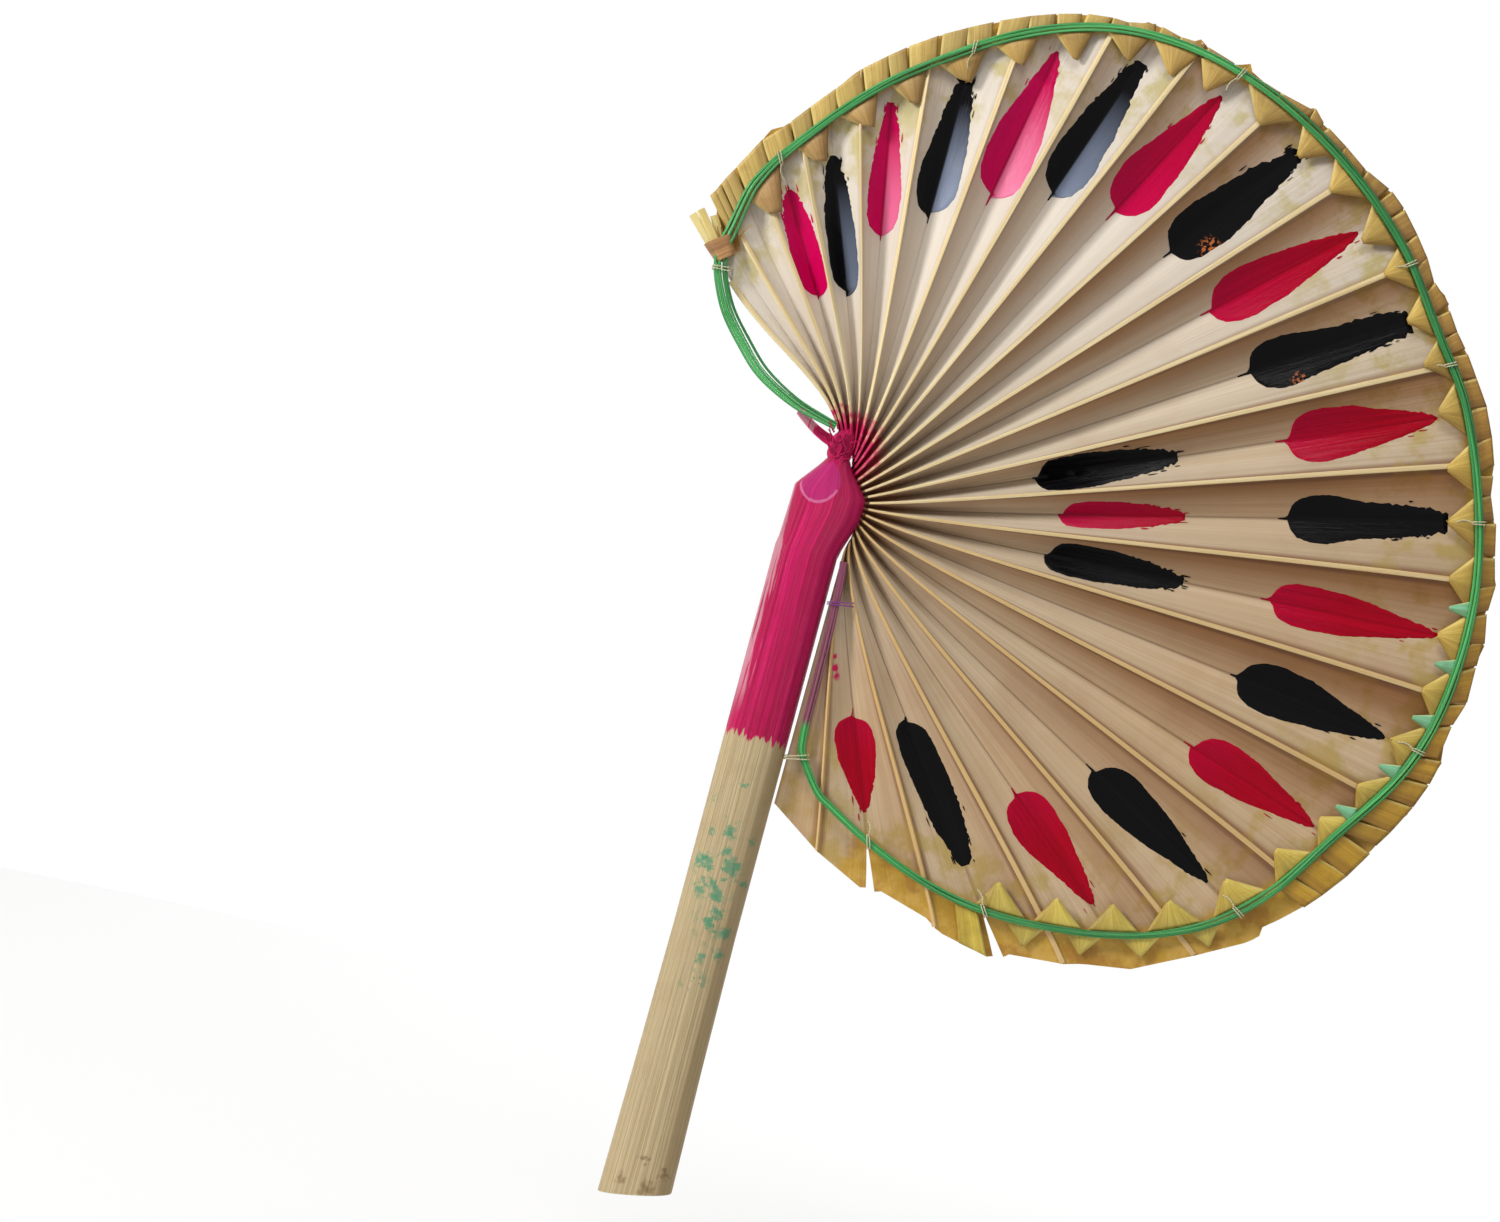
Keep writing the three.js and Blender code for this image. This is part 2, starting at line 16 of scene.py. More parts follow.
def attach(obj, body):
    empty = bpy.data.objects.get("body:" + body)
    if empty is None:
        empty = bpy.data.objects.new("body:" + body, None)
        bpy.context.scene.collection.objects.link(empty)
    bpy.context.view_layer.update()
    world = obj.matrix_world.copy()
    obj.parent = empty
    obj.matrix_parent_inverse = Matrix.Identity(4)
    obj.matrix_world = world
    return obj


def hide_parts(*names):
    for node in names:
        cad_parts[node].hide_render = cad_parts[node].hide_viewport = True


bl_info = {
    "name": "Palm Leaf Fan",
    "version": (1, 0, 0),
    "blender": (4, 5, 0),
    "location": "View3D > Sidebar > Palm Fan",
    "description": "Builds the looks of a painted palm leaf fan on its packed frame",
    "category": "Object",
}

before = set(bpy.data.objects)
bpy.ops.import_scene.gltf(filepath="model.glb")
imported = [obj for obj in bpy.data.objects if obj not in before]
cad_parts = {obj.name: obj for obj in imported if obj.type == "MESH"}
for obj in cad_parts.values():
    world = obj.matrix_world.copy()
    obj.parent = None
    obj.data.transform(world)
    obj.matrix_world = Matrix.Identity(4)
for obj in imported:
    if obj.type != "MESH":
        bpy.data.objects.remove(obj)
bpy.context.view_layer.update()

MM = 0.001

# Points nearer than this are one point, in metres
DOUBLES = 0.000002

# The point that the pleats aim at, and the ovals of the edge and of the hoop: centre, then half sides
FOCUS = np.array([10.9, 160.0])
OVAL_TILT = 118.3
BLADE = (86.0, 181.8, 168.9, 146.3)
HOOP = (87.4, 186.6, 159.6, 137.0)

# Angles of the free edge, of the seam beside it and of the ridges
FREE_EDGE, FREE_SEAM = 134.7, 131.2
RIDGES = (
    128.5, 121.2, 113.2, 104, 95, 84.8, 75.8, 67.2, 57.6, 47.6, 37.6,
    27.4, 17.9, 7.1, -3.8, -14.9, -26.1, -38.4, -50.8, -64.3, -80.8,
)
# Where the leaf leaves the head: out and up in shares of the grip's half width and the head's reach
ROOT_SHARES = (
    (-0.04, 1.1), (0.32, 0.96), (0.63, 0.8), (0.86, 0.4), (1.09, 0.25),
    (1.52, -0.03), (1.46, -0.42), (1.3, -0.68), (1.13, -0.99),
)
GRIP_HALF = 11.2
HEAD_REACH = 20.0
HEAD_TUCK = 2.2

# Each line leaves the head turned down from its own angle, least in the middle of the fan, in degrees
LEAST_TURN, LEFT_TURN, RIGHT_TURN = 4, 24, 42
LOWEST_HEADING = -96
# How far it then runs on, and the share of its length from which it points at the focus
ROOT_RUN, STRAIGHT_FROM = 15, 0.69

# Half thicknesses of the leaf, of its pleats at their deepest and of the pleats under the hoop
LEAF_HALF = 0.3
PLEAT_HALF = 3.3
HOOP_PLEAT = 1.3

# How much shorter the first two lines are; the seams that are slit open below, and half the slit's width
CORNER_CUTS = {0: 14.6, 1: 8.0}
SLIT_LINES = (39, 41)
SLIT_HALF = 2.0

# Half width of the bundle of splints, and how far the edging reaches into the leaf from it
BUNDLE_HALF = 1.95
EDGING_DEPTH = 10


def angles_of_lines():
    """Free edge, seam, then ridge and seam by turns."""
    angles = [FREE_EDGE, FREE_SEAM]
    for i, ridge in enumerate(RIDGES):
        angles.append(ridge)
        if i + 1 < len(RIDGES):
            angles.append((ridge + RIDGES[i + 1]) / 2)
    return angles


ANGLES = angles_of_lines()
LAST = len(ANGLES)


def heading(angle):
    turn = math.radians(angle)
    return np.array([math.cos(turn), math.sin(turn)])


def reach(oval, angle, start=FOCUS):
    """How far the oval lies from a point in a direction."""
    along = heading(OVAL_TILT)
    across = np.array([-along[1], along[0]])
    away = np.asarray(start) - np.array(oval[:2])
    step = heading(angle)
    from_long, from_short = away @ along / oval[2], away @ across / oval[3]
    step_long, step_short = step @ along / oval[2], step @ across / oval[3]
    a = step_long**2 + step_short**2
    b = from_long * step_long + from_short * step_short
    c = from_long**2 + from_short**2 - 1
    return (math.sqrt(b * b - a * c) - b) / a


def spot(angle, distance):
    return FOCUS + heading(angle) * distance


# How far the bent hoop lies outside its oval, or inside where negative, by the angle from the focus
HOOP_SWAY = np.array([
    (-82, 0), (-75, 0.2), (-68, 0.6), (-62, 1), (-56, 0.6), (-51, 0), (-46, 0.6), (-41, 1.6),
    (-37, 2), (-33, 1.4), (-30, 0.2), (-27, -1.1), (-24, -2.7), (-21, -3.5), (-18, -3.2), (-15, -1.8),
    (-12, -0.3), (-8, 0.7), (0, 0.8), (8, 0.2), (14, -0.7), (20, -1.4), (25, -2.1), (28, -3.4),
    (31, -4.2), (34, -3.8), (38, -2.6), (44, -1.9), (50, -1.1), (56, -0.2), (62, 0.6), (70, 1.3),
    (76, 0.8), (80, -0.6), (84, -2.3), (88, -3.8), (92, -5.1), (97, -4.9), (102, -4), (107, -2.8),
    (111, -1.2), (115, 0.9), (118, 2.7), (121, 4), (124, 4.4), (128, 2.8), (134, 0),
])

# The trimmed rim: line number and how far the leaf reaches past its oval there
RIM_STEPS = np.array([
    (0, 0), (0.9, 7.5), (1.6, 6), (2.5, 5), (4, 2.6), (4.9, 2.9), (5.5, -0.7), (7.1, -2.9),
    (7.8, -1.6), (8.5, -2.3), (11, -2.6), (12.2, -1.2), (13.6, 0.2), (14.4, -1.2), (14.6, 1.5),
    (15.2, 0.2), (15.7, -1.5), (15.85, 1.6), (16.2, -1), (16.8, -1.5), (16.98, 1.9), (17.3, -3),
    (18, -1.3), (18.4, -1), (18.5, 1.9), (18.65, -0.3), (20, -1.5), (20.8, 1.7), (21, 0.9),
    (22, -1.2), (22.45, -3.1), (22.8, -0.9), (23.2, -3.1), (23.9, -1.6), (24.7, -0.7), (24.99, 0.3),
    (26, -0.5), (26.8, -3.8), (27, -0.9), (27.7, -1.1), (28, 0.3), (28.7, -2.3), (28.83, -3.7),
    (28.9, -1), (29, 0.3), (29.5, -1.4), (29.9, 0.2), (30.7, -3), (30.9, -5), (31, 1), (32, 0.2),
    (32.7, -1.3), (33, -0.6), (34.6, -1.5), (34.93, -2.3), (35, 0), (35.2, 0.7), (36, -1.6),
    (37, -0.3), (37.7, -2.2), (38.99, -1.5), (39.01, 2.4), (39.98, -0.7), (40.04, -3.6),
    (40.99, -3.4), (41.01, 0.8), (42, 0.5), (43, 0),
])


def hoop_reach(angle):
    """The bent hoop's distance from the focus."""
    angles, lengths = HOOP_SWAY.T
    slopes = np.gradient(lengths, angles)
    i = int(np.clip(np.searchsorted(angles, angle) - 1, 0, len(angles) - 2))
    step = angles[i + 1] - angles[i]
    t = float(np.clip((angle - angles[i]) / step, 0, 1))
    sway = (
        lengths[i] * (1 + 2 * t) * (1 - t) ** 2
        + slopes[i] * step * t * (1 - t) ** 2
        + lengths[i + 1] * t * t * (3 - 2 * t)
        - slopes[i + 1] * step * t * t * (1 - t)
    )
    return reach(HOOP, angle) + sway


def smooth_path(corners, per_span):
    """A Catmull-Rom curve through the corners."""
    corners = np.asarray(corners, float)
    count = len(corners)
    points = []
    for i in range(count - 1):
        p0, p1 = corners[max(0, i - 1)], corners[i]
        p2, p3 = corners[i + 1], corners[min(count - 1, i + 2)]
        for step in range(per_span):
            t = step / per_span
            leave, arrive = (p2 - p0) / 2, (p3 - p1) / 2
            points.append(
                (2 * p1 - 2 * p2 + leave + arrive) * t**3
                + (-3 * p1 + 3 * p2 - 2 * leave - arrive) * t**2
                + leave * t
                + p1
            )
    points.append(corners[-1])
    return np.array(points)


def evenly(points, count):
    """The same path with points at even distances."""
    steps = np.linalg.norm(np.diff(points, axis=0), axis=1)
    at = np.concatenate([[0], np.cumsum(steps)])
    wanted = np.linspace(0, at[-1], count)
    return np.stack([np.interp(wanted, at, points[:, k]) for k in range(points.shape[1])], axis=1)


def root_points():
    corners = [(out * GRIP_HALF, FOCUS[1] + up * HEAD_REACH) for out, up in ROOT_SHARES]
    return evenly(smooth_path(corners, 40), LAST + 1)


ROOTS = root_points()


def line_points(index, shares):
    """Points of one leaf line in the leaf's plane, from the head to the rim."""
    shares = np.asarray(shares, float)[:, None]
    root = ROOTS[index]
    if index == LAST:
        beside = np.array([GRIP_HALF + 0.8, FOCUS[1]])
        foot = beside - np.array([0, reach(BLADE, -90, beside)])
        return root + (foot - root) * shares
    angle = ANGLES[index]
    distance = reach(BLADE, angle) - CORNER_CUTS.get(index, 0)
    middle = (ANGLES[0] + RIDGES[-1]) / 2
    turned = abs(angle - middle) / (ANGLES[0] - middle)
    swirl = LEAST_TURN + ((LEFT_TURN if angle > middle else RIGHT_TURN) - LEAST_TURN) * turned
    leaving = heading(max(LOWEST_HEADING, angle - swirl))
    second = root + leaving * ROOT_RUN
    root = root - leaving * HEAD_TUCK
    third = spot(angle, STRAIGHT_FROM * distance)
    end = spot(angle, distance)
    rest = 1 - shares
    return (
        root * rest**3
        + second * 3 * shares * rest**2
        + third * 3 * shares**2 * rest
        + end * shares**3
    )


# Rows of the leaf: 0 at the head, then where the folded edging starts, then the hoop, and 1 at the rim
EDGING_ROW, HOOP_ROW = 0.86, 0.93


def row_shares(index, rows):
    if index == LAST:
        edging, hoop = 0.8, 0.88
    else:
        edge, hoop_at = reach(BLADE, ANGLES[index]), hoop_reach(ANGLES[index])
        edging, hoop = (hoop_at - EDGING_DEPTH) / edge, (hoop_at - BUNDLE_HALF) / edge
    return np.interp(rows, [0, EDGING_ROW, HOOP_ROW, 1], [0, edging, hoop, 1])


def row_depths(index, rows):
    """Half the depth of the pleat at each row."""
    calm = 0.5 + 0.5 * min(1, min(index, LAST - index) / 7)
    knots = [0, 0.12 * EDGING_ROW, 0.4 * EDGING_ROW, 0.75 * EDGING_ROW, EDGING_ROW, HOOP_ROW, 1]
    return calm * np.interp(rows, knots, [1.98, 2.64, PLEAT_HALF, 3.135, 2.145, HOOP_PLEAT, 0.7])


ROWS = np.concatenate([
    np.linspace(0, EDGING_ROW, 84, endpoint=False),
    np.linspace(EDGING_ROW, HOOP_ROW, 6, endpoint=False),
    np.linspace(HOOP_ROW, 1, 9),
])
HOOP_INDEX = int(np.searchsorted(ROWS, HOOP_ROW))
BEYOND_HOOP = np.clip((ROWS - HOOP_ROW) / (1 - HOOP_ROW), 0, 1)
LINE_XZ = [line_points(i, row_shares(i, ROWS)) for i in range(LAST + 1)]
LINE_DEPTH = [row_depths(i, ROWS) for i in range(LAST + 1)]


def is_ridge(index):
    return index % 2 == 0


def on_leaf(line, distance, sag, side=-1):
    """A point on the leaf's face at a line number (with fraction) and a distance from the focus."""
    index = min(LAST - 1, max(0, int(math.floor(line))))
    share = line - index
    points = LINE_XZ[index] * (1 - share) + LINE_XZ[index + 1] * share
    away = np.linalg.norm(points - FOCUS, axis=1)
    first = int(np.argmin(away))
    every = np.arange(len(ROWS))
    row = np.interp(distance, away[first:], every[first:])
    x, z = (np.interp(row, every, points[:, k]) for k in (0, 1))
    depth = np.interp(row, every, LINE_DEPTH[index] * (1 - share) + LINE_DEPTH[index + 1] * share)
    fold = share if is_ridge(index) else 1 - share
    hollow = depth / PLEAT_HALF * sag * math.sin(math.pi * share)
    return np.array([x, (2 * fold - 1) * depth + hollow + side * LEAF_HALF, z])


# How far beside the grip the hoop comes back up, and the height at which it ends in the head
BESIDE_GRIP = 4.3
HOOP_END = 137


def hoop_route():
    """The middle of the hoop: up the free edge, round the rim and back up beside the handle."""
    top = ROOTS[0]
    foot = np.array([top[0] - 0.8, top[1] + 0.4])
    corner = spot(FREE_EDGE, reach(BLADE, FREE_EDGE) - 10.7)
    chord = corner - foot
    left = np.array([-chord[1], chord[0]])
    # Along and across the chord from the head to the corner, and on to the ends that stick out
    arc = (
        (0, 0), (0.051, 0.027), (0.22, 0.103), (0.43, 0.148), (0.61, 0.136),
        (0.78, 0.107), (0.918, 0.051), (1, 0), (1.06, -0.06), (1.1, -0.14),
    )
    points = [foot + along * chord + across * left for along, across in arc]
    for angle in np.linspace(124, -82, 73):
        points.append(spot(angle, hoop_reach(angle)))
    low = points[-1][1]
    # Out from the handle, and up from the rim to the head
    back = ((1.42, 0.135), (1.08, 0.2), (1, 0.29), (1, 0.43), (0.95, 0.66), (0.76, 0.9), (0.56, 1))
    for out, up in back:
        points.append(np.array([GRIP_HALF + out * BESIDE_GRIP, low + (HOOP_END - low) * up]))
    return evenly(smooth_path(points, 12), 620)


def upright(flat, y):
    """Points in the leaf's plane at a depth y, or at one depth for each."""
    return np.stack([flat[:, 0], np.broadcast_to(y, len(flat)), flat[:, 1]], axis=1)


HOOP_PATH = hoop_route()

# The hoop lies on the pleat, half the leaf, a clearance, the edging and a layer gap
HOOP_LIFT = HOOP_PLEAT + LEAF_HALF + 0.4 + 0.5 + 0.3


# Colours are written as they look on screen, from 0 to 255

def screen(red, green, blue):
    def linear(level):
        level /= 255
        return level / 12.92 if level <= 0.04045 else ((level + 0.055) / 1.055) ** 2.4

    return (linear(red), linear(green), linear(blue))


def opaque(red, green, blue):
    return (*screen(red, green, blue), 1)


def colour_prop(name, description, red, green, blue):
    return bpy.props.FloatVectorProperty(
        name=name, description=description, subtype="COLOR", size=3, min=0, max=1,
        default=screen(red, green, blue),
    )


def length_prop(name, description, millimetres):
    return bpy.props.FloatProperty(
        name=name, description=description, unit="LENGTH", subtype="DISTANCE", min=0,
        default=millimetres * MM,
    )


class PalmFanSizes(bpy.types.PropertyGroup):
    pleat_sag: length_prop("Pleat sag", "How far each half of a leaflet hangs hollow", 0.6)
    leaf_thickness: length_prop("Leaf thickness", "Thickness of the dried leaf", 0.6)
    rib_width: length_prop("Rib width", "Width of a midrib near the rim", 1.9)
    rib_lift: length_prop("Rib height", "How thick a midrib is", 0.9)
    fold_thickness: length_prop("Strip thickness", "Thickness of the folded strip on the rim", 0.35)
    fold_rise: length_prop("Fold rise", "How high a fold of the edging domes", 1)
    splint_width: length_prop("Splint width", "Width of one hoop splint", 1.05)
    splint_thickness: length_prop("Splint thickness", "Thickness of one hoop splint", 0.95)
    thread_width: length_prop("Thread width", "Thickness of the sewing thread", 0.45)
    paint_lift: length_prop("Paint thickness", "How thick the enamel strokes stand on the leaf", 0.22)
    floor_drop: length_prop("Floor drop", "How far the floor lies under the handle's end", 40)


class PalmFanColours(bpy.types.PropertyGroup):
    leaf_light: colour_prop("Leaf, light", "Bleached part of the leaf", 232, 221, 200)
    leaf_dark: colour_prop("Leaf, dark", "Darker fibres of the leaf", 203, 180, 146)
    rib: colour_prop("Rib", "Midribs of the leaf", 240, 222, 176)
    trim_light: colour_prop("Edging, light", "Lit folds of the edging", 233, 215, 130)
    trim_dark: colour_prop("Edging, dark", "Ochre of the edging and the leaf's margin", 190, 148, 52)
    splint_light: colour_prop("Splint, light", "Lit green of the hoop", 94, 208, 112)
    splint_dark: colour_prop("Splint, dark", "Deep green of the hoop", 6, 92, 38)
    red_paint: colour_prop("Red enamel", "Crimson strokes", 178, 2, 34)
    pink_paint: colour_prop("Magenta enamel", "Magenta of the upper strokes and the head", 204, 4, 86)
    black_paint: colour_prop("Black enamel", "Black strokes", 8, 8, 10)
    stalk: colour_prop("Stalk", "Split stalk of the leaf", 214, 196, 156)
    thread: colour_prop("Thread", "White sewing thread", 232, 226, 186)
    purple: colour_prop("Purple thread", "Thread of the tie near the head", 158, 74, 160)
    wrap: colour_prop("Corner wrap", "Brown strip round the corner", 186, 138, 84)
    strip_ends: colour_prop("Strip ends", "Pale strip ends at the corner", 236, 222, 160)


def sizes():
    return bpy.context.scene.palm_fan_sizes


def paint(name):
    return (*getattr(bpy.context.scene.palm_fan_colours, name), 1)


# Node trees, for shapes and for surfaces

def add_node(tree, kind, inputs=None, **settings):
    node = tree.nodes.new(kind)
    for key, value in settings.items():
        setattr(node, key, value)
    for key, value in (inputs or {}).items():
        socket = node.inputs[key]
        if isinstance(value, bpy.types.NodeSocket):
            tree.links.new(value, socket)
        else:
            socket.default_value = value
    return node


def maths(tree, operation, first, second=0.0, clamp=False):
    inputs = {0: first, 1: second}
    return add_node(tree, "ShaderNodeMath", inputs, operation=operation, use_clamp=clamp).outputs[0]


def vector_maths(tree, operation, first, second, output="Vector"):
    node = add_node(tree, "ShaderNodeVectorMath", {0: first, 1: second}, operation=operation)
    return node.outputs[output]


def times(tree, first, second):
    return maths(tree, "MULTIPLY", first, second)


def without(tree, mask):
    """1 where the mask is 0, and 0 where it is 1."""
    return maths(tree, "SUBTRACT", 1.0, mask)


def blend_colours(tree, factor, first, second, mode="MIX"):
    node = add_node(
        tree, "ShaderNodeMix", {0: factor, 6: first, 7: second}, data_type="RGBA", blend_type=mode,
    )
    return node.outputs[2]


def stained(tree, colour, mask, strength, stain):
    """The colour with a stain over it, as strong as the mask times the strength."""
    return blend_colours(tree, times(tree, mask, strength), colour, stain)


def step_up(tree, value, low, high):
    """0 below low, 1 above high, smooth between."""
    node = add_node(
        tree, "ShaderNodeMapRange", {0: value, 1: low, 2: high, 3: 0.0, 4: 1.0},
        interpolation_type="SMOOTHSTEP",
    )
    return node.outputs[0]


def vector(tree, x=0.0, y=0.0, z=0.0):
    return add_node(tree, "ShaderNodeCombineXYZ", {0: x, 1: y, 2: z}).outputs[0]


def noise(tree, place, scale, detail, roughness=0.5):
    inputs = {"Vector": place, "Scale": scale, "Detail": detail, "Roughness": roughness}
    return add_node(tree, "ShaderNodeTexNoise", inputs).outputs[0]


def object_place(tree):
    return add_node(tree, "ShaderNodeTexCoord").outputs["Object"]


def named(tree, name, data_type="FLOAT"):
    """Reads a mark of the shape."""
    node = add_node(tree, "GeometryNodeInputNamedAttribute", {"Name": name}, data_type=data_type)
    return node.outputs[0]


def marked(tree, geometry, name, value, data_type="FLOAT"):
    """The shape with a mark stored on it."""
    inputs = {"Geometry": geometry, "Name": name, "Value": value}
    return add_node(tree, "GeometryNodeStoreNamedAttribute", inputs, data_type=data_type).outputs[0]


def new_socket(tree, side, label, kind):
    return tree.interface.new_socket(label, in_out=side, socket_type="NodeSocket" + kind)


def shape_tree(name, *lengths):
    """A tree that takes a shape, some lengths and a material."""
    tree = bpy.data.node_groups.new(name, "GeometryNodeTree")
    new_socket(tree, "INPUT", "Geometry", "Geometry")
    for label in lengths:
        new_socket(tree, "INPUT", label, "Float")
    new_socket(tree, "INPUT", "Material", "Material")
    new_socket(tree, "OUTPUT", "Geometry", "Geometry")
    return tree, add_node(tree, "NodeGroupInput")


def close_tree(tree, geometry, material):
    """Every shape tree ends in real geometry with its material."""
    real = add_node(tree, "GeometryNodeRealizeInstances", {0: geometry})
    inputs = {"Geometry": real.outputs[0], "Material": material}
    add_node(tree, "NodeGroupOutput", {0: add_node(tree, "GeometryNodeSetMaterial", inputs).outputs[0]})


def shape_with(piece, tree, values):
    """Runs a shape tree on a piece once and keeps the result as its mesh."""
    modifier = piece.modifiers.new(tree.name, "NODES")
    modifier.node_group = tree
    for item in tree.interface.items_tree:
        if item.in_out == "INPUT" and item.name in values:
            modifier[item.identifier] = values[item.name]
    depsgraph = bpy.context.evaluated_depsgraph_get()
    shaped = bpy.data.meshes.new_from_object(
        piece.evaluated_get(depsgraph), preserve_all_data_layers=True, depsgraph=depsgraph,
    )
    piece.modifiers.clear()
    material = shaped.materials[-1]
    shaped.materials.clear()
    shaped.materials.append(material)
    shaped.polygons.foreach_set("material_index", [0] * len(shaped.polygons))
    piece.data = shaped
    return piece


# Meshes from points

def new_piece(name, points, edges=(), faces=(), marks=None, material=None):
    """A piece from points in millimetres, with named marks (attributes) on them."""
    mesh = bpy.data.meshes.new(name)
    mesh.from_pydata([tuple(p) for p in np.asarray(points) * MM], list(edges), list(faces))
    for label, values in (marks or {}).items():
        values = np.asarray(values, np.float32)
        kind, field = ("FLOAT", "value") if values.ndim == 1 else ("FLOAT_VECTOR", "vector")
        mesh.attributes.new(label, kind, "POINT").data.foreach_set(field, values.ravel())
    if material:
        mesh.materials.append(material)
    piece = bpy.data.objects.new(name, mesh)
    bpy.context.scene.collection.objects.link(piece)
    return piece


def grain_marks(along, across, lane):
    """How far along and across the fibres each point of a grid lies (metres), and on which strip."""
    return np.stack(np.broadcast_arrays(along, across, float(lane)), axis=2)


class Patches:
    """Collects grids of points and their marks into one mesh."""

    def __init__(self):
        self.points, self.faces, self.marks = [], [], {}

    def grid(self, rows, turned=False, **marks):
        """rows is a (rows, columns, 3) array; a mark is a number or an array that spreads over them."""
        rows = np.asarray(rows, float)
        down, over = rows.shape[:2]
        start = sum(len(p) for p in self.points)
        self.points.append(rows.reshape(-1, 3))
        ids = start + np.arange(down * over).reshape(down, over)
        a, b = ids[:-1, :-1].ravel(), ids[:-1, 1:].ravel()
        c, d = ids[1:, 1:].ravel(), ids[1:, :-1].ravel()
        quads = np.stack([a, d, c, b] if turned else [a, b, c, d], axis=1)
        self.faces.extend(map(tuple, quads.tolist()))
        for label, values in marks.items():
            values = np.broadcast_to(np.asarray(values, float), rows.shape[:2] + np.shape(values)[2:])
            self.marks.setdefault(label, []).append(values.reshape(down * over, *values.shape[2:]))

    def capped(self, rows, grain):
        """A grid with its first and last row closed to a point in their middle."""
        self.grid(rows, grain=grain)
        for end in (0, -1):
            centre = np.repeat(rows[end].mean(axis=0)[None, :], rows.shape[1], 0)
            self.grid(np.stack([rows[end], centre]), grain=np.repeat(grain[end][None], 2, 0))

    def piece(self, name, material=None):
        marks = {label: np.concatenate(parts) for label, parts in self.marks.items()}
        points = np.concatenate(self.points)
        return new_piece(name, points, faces=self.faces, marks=marks, material=material)


def tidy_mesh(piece, sharp_above=35):
    """Merges doubles, turns the faces outwards and keeps the folds crisp."""
    work = bmesh.new()
    work.from_mesh(piece.data)
    bmesh.ops.remove_doubles(work, verts=work.verts, dist=DOUBLES)
    bmesh.ops.recalc_face_normals(work, faces=work.faces)
    work.to_mesh(piece.data)
    work.free()
    for polygon in piece.data.polygons:
        polygon.use_smooth = True
    piece.data.set_sharp_from_angle(angle=math.radians(sharp_above))


def fit(piece, slot, *nodes):
    """Hands a finished piece to the frame."""
    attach(piece, "root")
    if nodes:
        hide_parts(*nodes)


def line_piece(name, lines, girth=None, tilt=None, lane=None, **marks):
    """A piece made of open lines of points; each mark is a list with one array for each line."""
    points = np.concatenate(lines)
    edges, start = [], 0
    for line in lines:
        edges.extend((start + i, start + i + 1) for i in range(len(line) - 1))
        start += len(line)
    marks["girth"] = girth or [np.ones(len(line)) for line in lines]
    marks["tilt"] = tilt or [np.zeros(len(line)) for line in lines]
    marks["lane"] = lane or [np.full(len(line), float(k)) for k, line in enumerate(lines)]
    return new_piece(name, points, edges=edges, marks={k: np.concatenate(v) for k, v in marks.items()})


def store_grain(tree, geometry, along, across):
    """Marks which way the fibres run, with the lane to tell one strip from the next."""
    grain = vector(tree, along, across, named(tree, "lane"))
    return marked(tree, geometry, "grain", grain, "FLOAT_VECTOR")


def sweep_tree():
    """Sweeps a rounded flat section along each line; girth and tilt are marks on the line."""
    name = "Sweep a strip along a line"
    if name in bpy.data.node_groups:
        return bpy.data.node_groups[name]
    tree, group = shape_tree(name, "Width", "Thickness", "Corner")
    curve = add_node(tree, "GeometryNodeMeshToCurve", {0: group.outputs["Geometry"]})
    length = add_node(tree, "GeometryNodeSplineParameter").outputs["Length"]
    path = marked(tree, curve.outputs[0], "along", length)
    tilted = add_node(tree, "GeometryNodeSetCurveTilt", {"Curve": path, "Tilt": named(tree, "tilt")})
    section = add_node(tree, "GeometryNodeCurvePrimitiveQuadrilateral", {
        "Width": group.outputs["Thickness"], "Height": group.outputs["Width"],
    })
    rounded = add_node(tree, "GeometryNodeFilletCurve", {
        "Curve": section.outputs[0], "Radius": group.outputs["Corner"],
        "Count": 2, "Limit Radius": True,
    }, mode="POLY")
    turn = add_node(tree, "GeometryNodeSplineParameter").outputs["Factor"]
    swept = add_node(tree, "GeometryNodeCurveToMesh", {
        "Curve": tilted.outputs[0], "Profile Curve": marked(tree, rounded.outputs[0], "around", turn),
        "Scale": named(tree, "girth"), "Fill Caps": True,
    })
    across = times(tree, named(tree, "around"), 0.004)
    grained = store_grain(tree, swept.outputs[0], named(tree, "along"), across)
    smooth = add_node(tree, "GeometryNodeSetShadeSmooth", {"Geometry": grained})
    close_tree(tree, smooth.outputs[0], group.outputs["Material"])
    return tree


def sweep(piece, width, thickness, corner, material):
    values = {"Width": width, "Thickness": thickness, "Corner": corner, "Material": material}
    shape_with(piece, sweep_tree(), values)
    piece.data.set_sharp_from_angle(angle=math.radians(50))
    return piece


# Surfaces

def surface_group(name, inputs, outputs):
    tree = bpy.data.node_groups.new(name, "ShaderNodeTree")
    for label, kind, value in inputs:
        new_socket(tree, "INPUT", label, kind).default_value = value
    for label, kind in outputs:
        new_socket(tree, "OUTPUT", label, kind)
    return tree, add_node(tree, "NodeGroupInput"), add_node(tree, "NodeGroupOutput")


